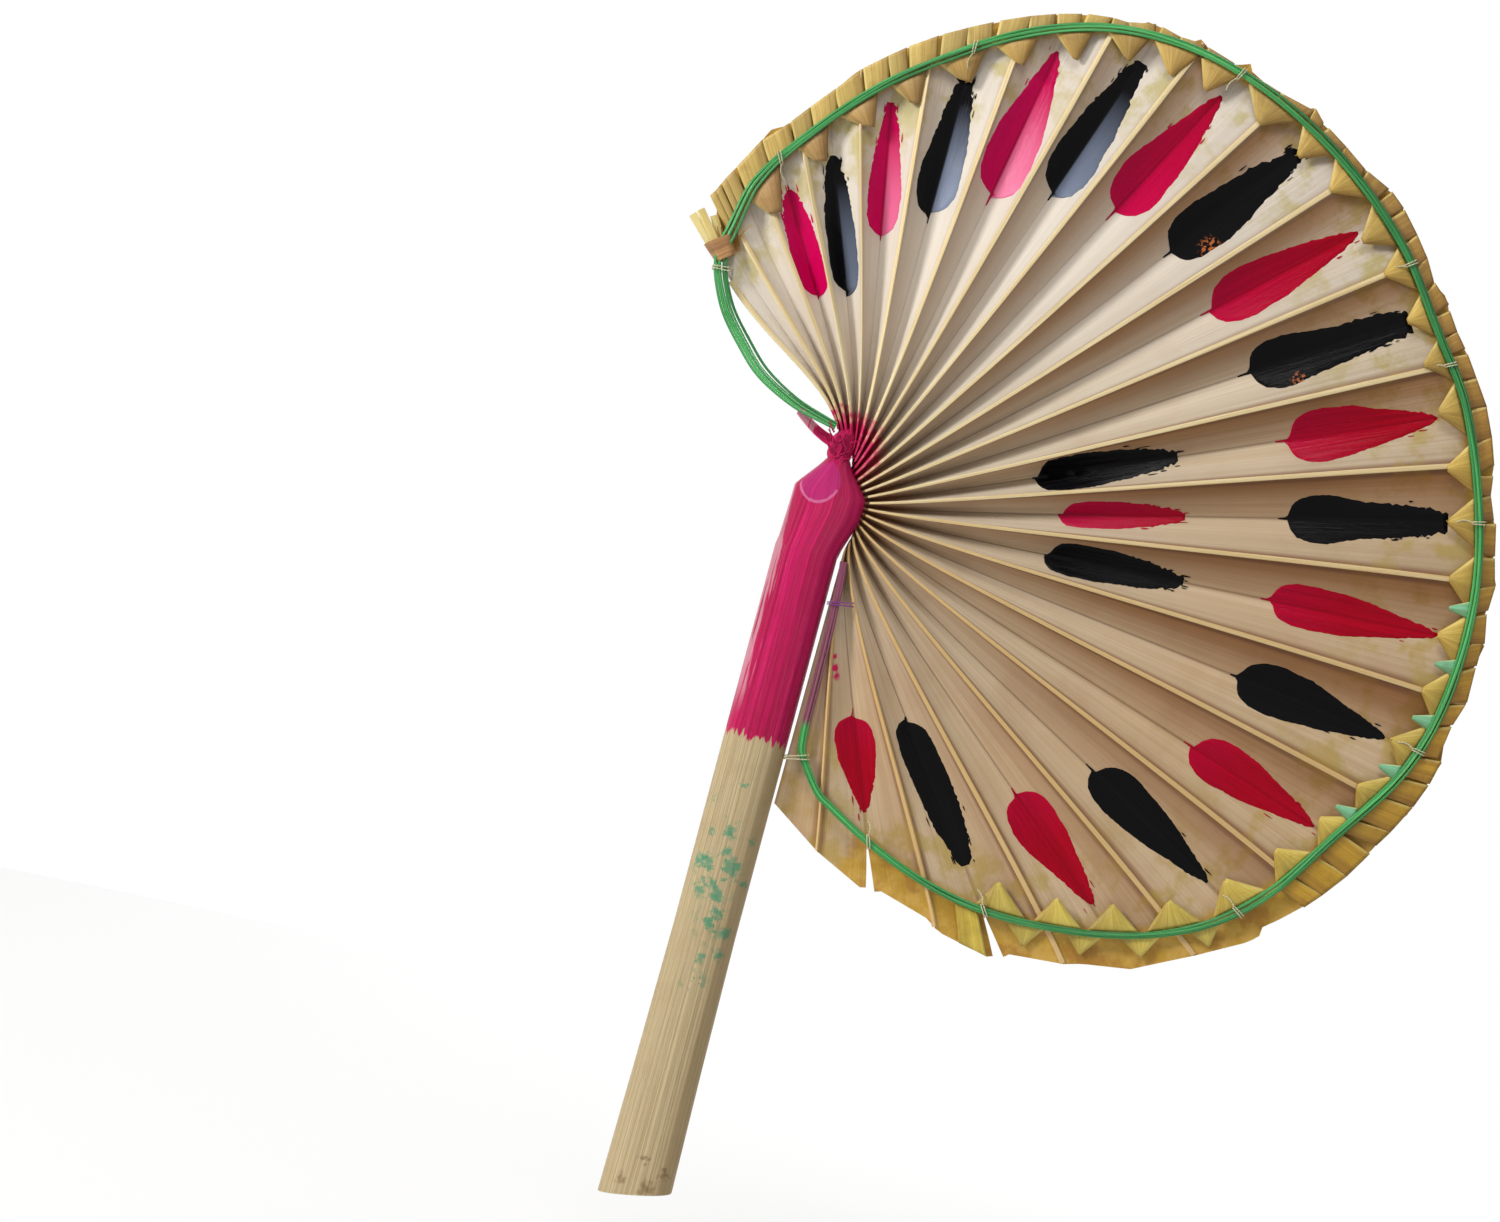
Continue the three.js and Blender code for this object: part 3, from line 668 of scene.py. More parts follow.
def fibre_group():
    """Long plant fibres: streaks that run along a strip, in colour and in height."""
    name = "Plant fibre"
    if name in bpy.data.node_groups:
        return bpy.data.node_groups[name]
    tree, group, out = surface_group(
        name,
        [
            ("Grain", "Vector", (0, 0, 0)), ("Along", "Float", 30.0), ("Across", "Float", 1200.0),
            ("Light", "Color", (0.8, 0.7, 0.5, 1)), ("Dark", "Color", (0.5, 0.4, 0.25, 1)),
            ("Streaks", "Float", 0.6),
        ],
        [("Colour", "Color"), ("Height", "Float")],
    )
    stretch = vector(tree, group.outputs["Along"], group.outputs["Across"], 1.0)
    place = vector_maths(tree, "MULTIPLY", group.outputs["Grain"], stretch)
    broad = noise(tree, place, 0.25, 3.0, 0.6)
    fine = noise(tree, place, 1.0, 4.0, 0.7)
    both = maths(tree, "ADD", times(tree, broad, 0.55), times(tree, fine, 0.45))
    spread = step_up(tree, both, 0.36, 0.64)
    factor = maths(tree, "MULTIPLY", spread, group.outputs["Streaks"], clamp=True)
    colour = blend_colours(tree, factor, group.outputs["Light"], group.outputs["Dark"])
    tree.links.new(colour, out.inputs["Colour"])
    tree.links.new(fine, out.inputs["Height"])
    return tree


def blotch_group():
    """Uneven patches over the whole piece, as a mask."""
    name = "Uneven patches"
    if name in bpy.data.node_groups:
        return bpy.data.node_groups[name]
    tree, group, out = surface_group(
        name,
        [("Size", "Float", 40.0), ("Low", "Float", 0.45), ("High", "Float", 0.65)],
        [("Mask", "Float")],
    )
    cloud = noise(tree, object_place(tree), group.outputs["Size"], 5.0, 0.6)
    mask = step_up(tree, cloud, group.outputs["Low"], group.outputs["High"])
    tree.links.new(mask, out.inputs["Mask"])
    return tree


def spot_group():
    """A spot round a point, as a mask with a ragged border."""
    name = "Ragged spot"
    if name in bpy.data.node_groups:
        return bpy.data.node_groups[name]
    tree, group, out = surface_group(
        name,
        [
            ("Point", "Vector", (0, 0, 0)), ("Inner", "Float", 0.001), ("Outer", "Float", 0.002),
            ("Ragged", "Float", 0.001), ("Size", "Float", 300.0),
        ],
        [("Mask", "Float")],
    )
    place = object_place(tree)
    gap = vector_maths(tree, "DISTANCE", place, group.outputs["Point"], "Value")
    cloud = noise(tree, place, group.outputs["Size"], 3.0)
    wave = times(tree, maths(tree, "SUBTRACT", cloud, 0.5), group.outputs["Ragged"])
    border = maths(tree, "ADD", gap, wave)
    mask = without(tree, step_up(tree, border, group.outputs["Inner"], group.outputs["Outer"]))
    tree.links.new(mask, out.inputs["Mask"])
    return tree


def start_material(name):
    material = bpy.data.materials.new(name)
    material.use_nodes = True
    tree = material.node_tree
    return material, tree, tree.nodes["Principled BSDF"]


def mark(tree, name, vector=False):
    node = add_node(tree, "ShaderNodeAttribute", attribute_name=name, attribute_type="GEOMETRY")
    return node.outputs["Vector" if vector else "Fac"]


def object_sides(tree):
    """How far out from the handle and how far up a place is, in metres."""
    split = add_node(tree, "ShaderNodeSeparateXYZ", {0: object_place(tree)})
    return split.outputs["X"], split.outputs["Z"]


def group_node(tree, group, inputs):
    return add_node(tree, "ShaderNodeGroup", inputs, node_tree=group)


def patches(tree, size, low, high):
    return group_node(tree, blotch_group(), {"Size": size, "Low": low, "High": high}).outputs[0]


def near_point(tree, point, inner, outer, ragged, size=300.0):
    """1 within inner of a point (mm) and 0 beyond outer; the border wanders by up to ragged."""
    return group_node(tree, spot_group(), {
        "Point": Vector(point) * MM, "Inner": inner * MM, "Outer": outer * MM,
        "Ragged": ragged * MM * 2, "Size": size,
    }).outputs[0]


def fibrous(tree, along, across, light, dark, streaks):
    """Plant fibres that follow the grain of the piece."""
    return group_node(tree, fibre_group(), {
        "Grain": mark(tree, "grain", True), "Along": along, "Across": across,
        "Light": light, "Dark": dark, "Streaks": streaks,
    })


def finish_surface(tree, shader, colour, roughness, height, relief, gloss=0.5):
    """Joins a material's colour, roughness and relief to its shader."""
    tree.links.new(colour, shader.inputs["Base Color"])
    if isinstance(roughness, bpy.types.NodeSocket):
        tree.links.new(roughness, shader.inputs["Roughness"])
    else:
        shader.inputs["Roughness"].default_value = roughness
    shader.inputs["Specular IOR Level"].default_value = gloss
    bump = add_node(tree, "ShaderNodeBump", {"Height": height, "Distance": relief, "Strength": 1.0})
    tree.links.new(bump.outputs[0], shader.inputs["Normal"])


# Where the leaf's margin stays straw-coloured, where the head's paint ends, and drops of that paint
PLAIN_CORNER = (-50, 0, 224)
PLAIN_FOOT = (24, 0, 44)
HEAD_TOP = (3, 0, 175.5)
PAINT_DROPS = ((20.2, 100.4, 0.9), (21.9, 97.8, 1), (19.2, 104.2, 0.6), (23.4, 103, 0.5))


def leaf_material():
    material, tree, shader = start_material("Dried palm leaf")
    fibres = fibrous(tree, 9.0, 1300.0, paint("leaf_light"), paint("leaf_dark"), 0.6)
    blotches = patches(tree, 26, 0.45, 0.75)
    colour = stained(tree, fibres.outputs["Colour"], blotches, 0.35, opaque(186, 150, 108))
    colour = stained(tree, colour, mark(tree, "tone"), 0.4, opaque(214, 204, 188))
    crease = mark(tree, "fold")
    # Painted shade: a dark line along each valley crease, and brown shade beside each rib
    valley = step_up(tree, crease, 0.93, 1.0)
    colour = stained(tree, colour, valley, 0.55, opaque(120, 86, 56))
    beside = without(tree, step_up(tree, crease, 0.08, 0.2))
    colour = stained(tree, colour, beside, 0.7, opaque(142, 100, 60))
    out = mark(tree, "out")
    aside, height = object_sides(tree)
    # Painted light: the upper left of the leaf is lightened where the lamps fall most
    upper = maths(tree, "SUBTRACT", height, times(tree, aside, 0.5))
    colour = stained(tree, colour, step_up(tree, upper, 0.13, 0.24), 0.6, opaque(237, 227, 216))
    # Painted shade: deep brown in the folds near the head, where the pleats crowd together
    near = without(tree, step_up(tree, out, 0.04, 0.36))
    deep = times(tree, near, step_up(tree, crease, 0.3, 0.85))
    colour = stained(tree, colour, deep, 0.75, opaque(112, 72, 40))
    dyed = times(tree, step_up(tree, out, 0.66, 0.84), patches(tree, 75, 0.46, 0.62))
    colour = stained(tree, colour, dyed, 0.7, opaque(196, 180, 92))
    # The tint mark holds the leaf's warmth and the painted shade of the halves that turn from the lamps
    colour = blend_colours(tree, 1.0, colour, mark(tree, "tint", True), "MULTIPLY")
    ochre = blend_colours(tree, patches(tree, 120, 0.4, 0.6), paint("trim_dark"), opaque(206, 164, 78))
    ochre = stained(tree, ochre, patches(tree, 64, 0.5, 0.62), 0.6, opaque(156, 100, 38))
    margin = step_up(tree, mark(tree, "rim"), 0.3, 0.62)
    margin = times(tree, margin, without(tree, near_point(tree, PLAIN_CORNER, 7, 9, 1)))
    straw = times(tree, near_point(tree, PLAIN_FOOT, 15, 21, 3), 0.8)
    colour = blend_colours(tree, times(tree, margin, without(tree, straw)), colour, ochre)
    hub = near_point(tree, (FOCUS[0], 0, FOCUS[1]), 8, 26, 9)
    colour = stained(tree, colour, hub, 0.55, opaque(170, 110, 66))
    splash = near_point(tree, HEAD_TOP, 9, 16, 9, 420)
    colour = blend_colours(tree, splash, colour, paint("pink_paint"))
    for across, up, size in PAINT_DROPS:
        drop = near_point(tree, (across, -1.4, up), size, size + 0.9, 0.8, 500)
        colour = blend_colours(tree, drop, colour, paint("pink_paint"))
    finish_surface(tree, shader, colour, 0.52, fibres.outputs["Height"], 0.00022, 0.35)
    return material


def rib_material():
    material, tree, shader = start_material("Midrib")
    fibres = fibrous(tree, 26.0, 1600.0, paint("rib"), opaque(206, 172, 104), 0.7)
    lower = step_up(tree, mark(tree, "lane"), 22, 34)
    colour = stained(tree, fibres.outputs["Colour"], lower, 0.75, opaque(204, 164, 100))
    splash = near_point(tree, HEAD_TOP, 9, 17, 9, 420)
    colour = blend_colours(tree, splash, colour, paint("pink_paint"))
    finish_surface(tree, shader, colour, 0.45, fibres.outputs["Height"], 0.00015)
    return material


def enamel(name, first, second, streak, bloom, worn=()):
    """Thick gloss paint laid on with a brush; worn spots show the leaf, and some strokes carry a painted
    sheen on one half.
    """
    material, tree, shader = start_material(name)
    fibres = fibrous(tree, 30.0, 900.0, first, streak, 0.5)
    colour = blend_colours(tree, mark(tree, "tone"), fibres.outputs["Colour"], second)
    beside = add_node(tree, "ShaderNodeSeparateXYZ", {0: mark(tree, "grain", True)}).outputs["Y"]
    # Painted sheen: a pale wash over one side of the stroke, as strong as its mark
    sheen_mask = times(tree, mark(tree, "bloom"), step_up(tree, beside, 0.0, 0.0008))
    colour = blend_colours(tree, sheen_mask, colour, bloom)
    # Painted shade: darker along the crease under the middle of the stroke
    seam = without(tree, step_up(tree, maths(tree, "ABSOLUTE", beside), 0.0001, 0.0009))
    colour = stained(tree, colour, seam, 0.5, streak)
    if worn:
        thin = step_up(tree, noise(tree, object_place(tree), 700.0, 3.0), 0.5, 0.56)
        for x, z, size in worn:
            bare = times(tree, near_point(tree, (x, 0, z), size * 0.4, size, 1.5), thin)
            colour = blend_colours(tree, bare, colour, opaque(172, 96, 52))
    finish_surface(tree, shader, colour, 0.16, fibres.outputs["Height"], 0.00025, 0.07)
    return material


def trim_material():
    material, tree, shader = start_material("Dyed palm strip")
    fibres = fibrous(tree, 60.0, 1500.0, (1, 1, 1, 1), (0.62, 0.54, 0.42, 1), 0.7)
    colour = blend_colours(tree, 1.0, mark(tree, "tint", True), fibres.outputs["Colour"], "MULTIPLY")
    # Painted light: each fold is shaded darker towards one side, with a painted highlight along its
    # other edge
    across = mark(tree, "across")
    deep = times(tree, step_up(tree, across, 0.35, 1.0), 0.75)
    colour = blend_colours(tree, deep, colour, (0.55, 0.46, 0.32, 1), "MULTIPLY")
    pale = without(tree, step_up(tree, across, 0.02, 0.14))
    colour = stained(tree, colour, pale, 0.45, paint("trim_light"))
    worn = times(tree, patches(tree, 160, 0.5, 0.7), 0.35)
    colour = blend_colours(tree, worn, colour, (0.6, 0.5, 0.34, 1), "MULTIPLY")
    finish_surface(tree, shader, colour, 0.42, fibres.outputs["Height"], 0.0002)
    return material


def splint_material():
    material, tree, shader = start_material("Green splint")
    fibres = fibrous(tree, 26.0, 2200.0, paint("splint_light"), paint("splint_dark"), 0.95)
    colour = stained(tree, fibres.outputs["Colour"], mark(tree, "tone"), 0.6, paint("splint_dark"))
    aside, height = object_sides(tree)
    # The head's paint has run onto the splints beside it
    beside = times(tree, step_up(tree, height, 0.077, 0.081), step_up(tree, aside, 0.009, 0.0095))
    beside = times(tree, beside, maths(tree, "LESS_THAN", aside, 0.0235))
    beside = times(tree, beside, maths(tree, "LESS_THAN", height, 0.141))
    colour = stained(tree, colour, beside, 0.85, opaque(140, 26, 92))
    finish_surface(tree, shader, colour, 0.36, fibres.outputs["Height"], 0.0003)
    return material


def thread_material(name, colour):
    material, tree, shader = start_material(name)
    twist = add_node(tree, "ShaderNodeTexWave", {
        "Vector": mark(tree, "grain", True), "Scale": 500.0, "Distortion": 1.0,
    }, bands_direction="DIAGONAL")
    dark = (*(level * 0.55 for level in colour[:3]), 1)
    shaded = stained(tree, colour, twist.outputs["Fac"], 0.4, dark)
    finish_surface(tree, shader, shaded, 0.85, twist.outputs["Fac"], 0.0002)
    return material


# Places on the stalk's face: across, up and size in millimetres
GREEN_STAINS = (
    (-0.5, 36, 1.7), (-8.9, 23.3, 2.2), (-6.3, 24, 2), (3.4, 23.9, 2.8), (0.1, 28.5, 1),
    (-2, 16.9, 1.5), (-5.7, 13.8, 1.8), (1, 13.5, 1.8), (2.3, 7.6, 1.7), (-0.1, 3.6, 0.9),
    (6.7, 1.2, 1.9), (6.7, -6.4, 1.4), (0.9, -9.4, 0.9), (-9.4, 46.1, 0.8), (-0.1, 52.8, 0.6),
    (8.1, 34.9, 0.7), (-6.7, 34.7, 0.7), (8.9, 19.1, 0.8),
)
GREEN_SPECKS = ((-1, 20, 9), (2, 3, 6), (1, -18, 3), (0, 38, 3))
BROWN_MARKS = ((-6.5, -90.5, 1.6), (3.2, -91.5, 2.2), (8.4, -86, 1.4), (0.5, -82, 1))
# The pared place on the head, shown in colour alone: painted lighter, with a painted highlight round its
# lower rim
FACET = (-3, -8.5, 162.5)


def stalk_material():
    material, tree, shader = start_material("Split stalk")
    fibres = fibrous(tree, 9.0, 5600.0, paint("stalk"), opaque(172, 148, 108), 0.9)
    blotches = patches(tree, 60, 0.5, 0.8)
    colour = stained(tree, fibres.outputs["Colour"], blotches, 0.4, opaque(156, 128, 84))
    across, height = object_sides(tree)
    # Painted shade: the stalk darkens across its half on the leaf's side
    colour = stained(tree, colour, step_up(tree, across, 0.0, 0.012), 0.45, opaque(168, 136, 88))
    for x, z, size in GREEN_STAINS:
        depth = -7.1 * math.sqrt(1 - (x / 11.5) ** 2)
        stain = near_point(tree, (x, depth, z), size * 0.5, size + 1.2, 3.2, 620)
        colour = stained(tree, colour, stain, 0.75, opaque(62, 152, 118))
    specks = step_up(tree, noise(tree, object_place(tree), 330.0, 3.0, 0.65), 0.53, 0.6)
    for x, z, size in GREEN_SPECKS:
        stain = times(tree, near_point(tree, (x, -6.6, z), size * 0.3, size + 4, 3, 200), specks)
        colour = stained(tree, colour, stain, 0.75, opaque(70, 150, 112))
    for x, z, size in BROWN_MARKS:
        stain = near_point(tree, (x, -6.4, z), size * 0.4, size + 1.4, 3.6, 560)
        colour = stained(tree, colour, stain, 0.6, opaque(112, 80, 44))
    painted, shade = head_paint(tree, across, height)
    colour = blend_colours(tree, painted, colour, shade)
    rough = maths(tree, "SUBTRACT", 0.55, times(tree, painted, 0.2))
    finish_surface(tree, shader, colour, rough, fibres.outputs["Height"], 0.0004, 0.22)
    return material


def head_paint(tree, across, height):
    """The magenta of the stalk's upper part: where it covers, to a brushed edge, and its colour."""
    ragged = noise(tree, vector_maths(tree, "MULTIPLY", object_place(tree), (620, 620, 45)), 1.0, 4.0)
    wave = times(tree, maths(tree, "SUBTRACT", ragged, 0.5), 0.014)
    painted = step_up(tree, maths(tree, "ADD", height, wave), 0.0690, 0.0702)
    streaks = fibrous(tree, 12.0, 2200.0, opaque(224, 20, 108), opaque(150, 2, 52), 0.85)
    deeper = patches(tree, 70, 0.4, 0.7)
    shade = stained(tree, streaks.outputs["Colour"], deeper, 0.4, opaque(170, 6, 62))
    # Painted highlight: a pale streak down the left edge of the magenta head
    edge = without(tree, step_up(tree, maths(tree, "ADD", across, wave), -0.0098, -0.0082))
    edge = times(tree, edge, step_up(tree, height, 0.075, 0.09))
    shade = stained(tree, shade, edge, 0.45, opaque(238, 196, 206))
    # Painted light on the pared place: its face lighter, and a pale painted highlight round the lower
    # half of its rim
    facet = near_point(tree, FACET, 8.4, 8.9, 0.8)
    shade = stained(tree, shade, facet, 0.5, opaque(192, 44, 134))
    ring = maths(tree, "SUBTRACT", facet, near_point(tree, FACET, 7.7, 8.1, 0.8))
    ring = times(tree, ring, maths(tree, "LESS_THAN", height, 0.1605))
    shade = stained(tree, shade, ring, 0.5, opaque(238, 150, 190))
    return painted, shade


def strip_material(name, light, dark):
    material, tree, shader = start_material(name)
    fibres = fibrous(tree, 40.0, 1500.0, light, dark, 0.85)
    finish_surface(tree, shader, fibres.outputs["Colour"], 0.5, fibres.outputs["Height"], 0.0003)
    return material


# The leaf: the line whose length the grain follows, and how far the grain moves on from line to line
MIDDLE_LINE = 20
GRAIN_STEP = 0.012

# The first row of a midrib, which starts inside the head
RIB_START = 3


def warmth_and_painted_shade(line, shares):
    """How the leaf's colour shifts beside a line: warmer towards the handle, and painted shade, browner
    beside the ridges, on the halves that turn from the lamps.
    """
    warm = np.interp(line + shares, [0, 16, 22, 27, 34, 43], [0, 0, 0.25, 0.8, 0.9, 0.75])
    warm = warm[None, :, None] * np.interp(ROWS, [0, 0.3, 0.6, 1], [0.3, 0.4, 1, 1])[:, None, None]
    tint = 1 - warm * (1 - np.array([0.8, 0.64, 0.47]))
    # Painted shade: the half from a ridge to the next seam is browned, most beside the ridge
    if is_ridge(line):
        brown = np.interp(line, [0, 6, 12, 18, 30, 36, 43], [0, 0.2, 0.5, 1, 1, 0.5, 0.3])
        brown = (brown * np.interp(shares, [0, 0.3, 0.6, 1], [1, 0.95, 0.65, 0.35]))[None, :, None]
        brown = brown * np.interp(ROWS, [0, 0.25, 0.5, 1], [0.5, 0.7, 1, 1])[:, None, None]
        return tint * (1 - brown * (1 - np.array([0.47, 0.28, 0.14])))
    # Painted shade too: the lit halves are dulled towards their ridge, where the lamps make them
    # brightest
    dull = np.interp(line, [0, 6, 12, 18, 24, 30, 36], [0, 0.08, 0.14, 0.26, 0.26, 0.1, 0])
    return tint * (1 - dull * np.interp(shares, [0, 0.3, 0.7, 1], [0.3, 0.4, 1, 1]))[None, :, None]


def flat_leaf():
    """The leaf laid flat, with marks for the pleats to come."""
    patch = Patches()
    shares = np.linspace(0, 1, 9)
    leaf_tones = np.random.default_rng(7).uniform(0, 1, LAST)
    opening = np.interp(ROWS, [0, HOOP_ROW, (1 + HOOP_ROW) / 2, 1], [0, 0, 0.5, 1])
    away = np.linalg.norm(LINE_XZ[MIDDLE_LINE] - FOCUS, axis=1)
    travel = np.cumsum(np.concatenate([[0], np.diff(away)]))
    for i in range(LAST):
        left, right = LINE_XZ[i].copy(), LINE_XZ[i + 1].copy()
        across = right - left
        across /= np.maximum(1e-6, np.linalg.norm(across, axis=1))[:, None]
        if i in SLIT_LINES:
            left += across * (opening * SLIT_HALF)[:, None]
        if i + 1 in SLIT_LINES:
            right -= across * (opening * SLIT_HALF)[:, None]
        share = shares[None, :, None]
        rows = left[:, None, :] * (1 - share) + right[:, None, :] * share
        past = np.interp(i + np.clip(shares, 0.002, 0.998), RIM_STEPS[:, 0], RIM_STEPS[:, 1])
        outward = rows[-1] - rows[HOOP_INDEX]
        outward /= np.linalg.norm(outward, axis=1)[:, None]
        rows += outward[None] * past[None, :, None] * BEYOND_HOOP[:, None, None]
        points = np.stack([rows[..., 0], np.zeros(rows.shape[:2]), rows[..., 1]], axis=2)
        fold = shares if is_ridge(i) else 1 - shares
        depth = LINE_DEPTH[i][:, None] * (1 - shares) + LINE_DEPTH[i + 1][:, None] * shares
        patch.grid(
            points, fold=fold, depth=depth * MM, out=ROWS[:, None],
            tone=leaf_tones[i], tint=warmth_and_painted_shade(i, shares),
            rim=np.interp(ROWS, [EDGING_ROW, 1], [0, 1])[:, None],
            grain=grain_marks((travel * MM)[:, None], (i + shares) * GRAIN_STEP, i),
        )
    return patch.piece("leaf")


def merge_doubles(tree, geometry):
    inputs = {"Geometry": geometry, "Distance": DOUBLES}
    return add_node(tree, "GeometryNodeMergeByDistance", inputs).outputs[0]


def pleat_tree():
    """Folds a flat leaf into its pleats and gives it a thickness."""
    tree, group = shape_tree("Pleat the leaf", "Sag", "Thickness")
    fold, depth = named(tree, "fold"), named(tree, "depth")
    slope = maths(tree, "SUBTRACT", times(tree, fold, 2.0), 1.0)
    swell = maths(tree, "SINE", times(tree, fold, math.pi))
    hollow = times(tree, times(tree, depth, 1 / (PLEAT_HALF * MM)), group.outputs["Sag"])
    height = maths(tree, "ADD", times(tree, slope, depth), times(tree, swell, hollow))
    front = maths(tree, "SUBTRACT", height, times(tree, group.outputs["Thickness"], 0.5))
    face = add_node(tree, "GeometryNodeSetPosition", {
        "Geometry": group.outputs["Geometry"], "Offset": vector(tree, y=front),
    })
    merged = merge_doubles(tree, face.outputs[0])
    thick = add_node(tree, "GeometryNodeExtrudeMesh", {
        "Mesh": merged, "Offset": vector(tree, y=group.outputs["Thickness"]),
        "Offset Scale": 1.0, "Individual": False,
    })
    flipped = add_node(tree, "GeometryNodeFlipFaces", {0: thick.outputs[0]})
    both = add_node(tree, "GeometryNodeJoinGeometry")
    for shape in (flipped.outputs[0], merged):
        tree.links.new(shape, both.inputs[0])
    closed = merge_doubles(tree, both.outputs[0])
    smooth = add_node(tree, "GeometryNodeSetShadeSmooth", {"Geometry": closed})
    close_tree(tree, smooth.outputs[0], group.outputs["Material"])
    return tree


class PALMFAN_OT_leaf(bpy.types.Operator):
    """Fold the leaf into its pleats"""

    bl_idname = "palmfan.leaf"
    bl_label = "Pleated leaf"

    def execute(self, context):
        piece = flat_leaf()
        values = {
            "Sag": sizes().pleat_sag, "Thickness": sizes().leaf_thickness, "Material": leaf_material(),
        }
        shape_with(piece, pleat_tree(), values)
        piece.data.set_sharp_from_angle(angle=math.radians(16))
        fit(piece, "leaf", *[f"leaflet_{i:02d}" for i in range(1, 23)])
        return {"FINISHED"}


class PALMFAN_OT_ribs(bpy.types.Operator):
    """Lay a midrib along each ridge, on both faces"""

    bl_idname = "palmfan.ribs"
    bl_label = "Midribs"

    def execute(self, context):
        lines, girths = [], []
        for index in range(LAST):
            front = is_ridge(index)
            side = -1 if front else 1
            end = len(ROWS) if index > 1 else len(ROWS) - 2
            if index in SLIT_LINES:
                end = HOOP_INDEX
            past = np.interp(index, RIM_STEPS[:, 0], RIM_STEPS[:, 1]) - 0.4
            outward = LINE_XZ[index][-1] - LINE_XZ[index][HOOP_INDEX]
            outward /= np.linalg.norm(outward)
            points = (LINE_XZ[index] + outward * past * BEYOND_HOOP[:, None])[RIB_START:end]
            y = side * (LINE_DEPTH[index][RIB_START:end] + LEAF_HALF + 0.02)
            lines.append(upright(points, y))
            knots = [0, 14, len(points) * 0.7, len(points)]
            grow = np.interp(np.arange(len(points)), knots, [0.4, 0.55, 0.9, 1])
            girths.append(grow * (1 if front else 0.6))
        piece = line_piece("leaf_ribs", lines, girth=girths)
        sweep(piece, sizes().rib_width, sizes().rib_lift, 0.00018, rib_material())
        fit(piece, "leaf")
        return {"FINISHED"}


# The painted strokes: seam number from the free edge, colour, shape, base and tip from the focus,
# half width, and how much magenta is in the red
STROKES = (
    (1, "red", "bar", 70, 110, 5.4, 1.0), (2, "black", "bar", 70, 120, 5.4, 0),
    (3, "red", "brush", 90, 139, 6.3, 1.0), (4, "black", "brush", 99, 154, 7.8, 0),
    (5, "red", "petal", 112, 172, 9.4, 1.0), (6, "black", "brush", 124, 183, 8.7, 0),
    (7, "red", "petal", 131, 191, 9.3, 0.4), (8, "black", "brush", 137, 198, 9.2, 0),
    (9, "red", "petal", 137, 200, 9.4, 0.15), (10, "black", "blunt", 141, 205, 9.4, 0),
    (11, "red", "petal", 149, 207, 9.8, 0.05), (12, "black", "blunt", 149, 209, 8.8, 0),
    (13, "red", "petal", 147, 211, 8.4, 0.0), (14, "black", "petal", 146, 205, 9.4, 0),
    (15, "red", "petal", 144, 199, 8.6, 0.0), (16, "black", "petal", 124, 184, 8.8, 0),
    (17, "red", "petal", 116, 166, 9, 0.0), (18, "black", "bar", 79, 135.5, 7.2, 0),
    (19, "red", "petal", 74, 111, 8.6, 0.0), (11, "black", "bar", 63, 115, 5.8, 0),
    (12, "red", "bar", 72, 117, 4.7, 0.25), (13, "black", "bar", 70, 120, 5.9, 0),
)

# How far some strokes lie beside their seam, towards the handle
STROKE_LEAN = {17: (0, 0.6, 0.8, 0, -1), 18: (0, 0.8, 0.8, 0.3, 0), 19: (0, 1, 1.2, 0.6, 0)}

# Strokes of the front with a painted sheen on one half, and how strongly
SHEEN_STROKES = {2: 0.45, 3: 0.55, 4: 0.8, 5: 0.55, 6: 0.6}

# Strokes of the other face, whose places are a guess
BACK_STROKES = (
    (2, "red", "bar", 74, 116, 5), (4, "black", "brush", 96, 150, 7),
    (6, "red", "petal", 122, 178, 8.4), (8, "black", "brush", 136, 192, 9),
    (10, "red", "petal", 142, 200, 9.2), (12, "black", "blunt", 146, 204, 9),
    (14, "red", "petal", 146, 202, 8.8), (16, "black", "petal", 130, 186, 8.4),
    (18, "red", "petal", 92, 140, 6.6),
)

# Where the black is worn down to the leaf: across, up and size
WORN_SPOTS = ((108.9, 276.4, 5.2), (151.1, 240.2, 4), (44, 252, 2.5))

# Half width along a stroke, from the base that faces the head to the tip
STROKE_SHAPES = {
    "petal": ((0, 0.03), (0.05, 0.06), (0.06, 0.4), (0.1, 0.72), (0.17, 0.92), (0.28, 1), (0.45, 0.92),
              (0.65, 0.66), (0.82, 0.42), (0.94, 0.22), (1, 0.04)),
    "brush": ((0, 0.03), (0.04, 0.06), (0.05, 0.4), (0.09, 0.74), (0.17, 0.95), (0.32, 1), (0.52, 0.88),
              (0.7, 0.66), (0.86, 0.46), (0.96, 0.33), (1, 0.2)),
    "blunt": ((0, 0.03), (0.05, 0.06), (0.06, 0.45), (0.1, 0.78), (0.18, 0.97), (0.28, 1), (0.42, 0.85),
              (0.6, 0.72), (0.8, 0.63), (0.95, 0.5), (1, 0.36)),
    "bar": ((0, 0.05), (0.02, 0.5), (0.07, 0.82), (0.2, 0.98), (0.45, 1), (0.7, 0.84), (0.86, 0.62),
            (0.96, 0.4), (1, 0.2)),
}


# How far the border of the paint sinks into the leaf
PAINT_SUNK = 0.08


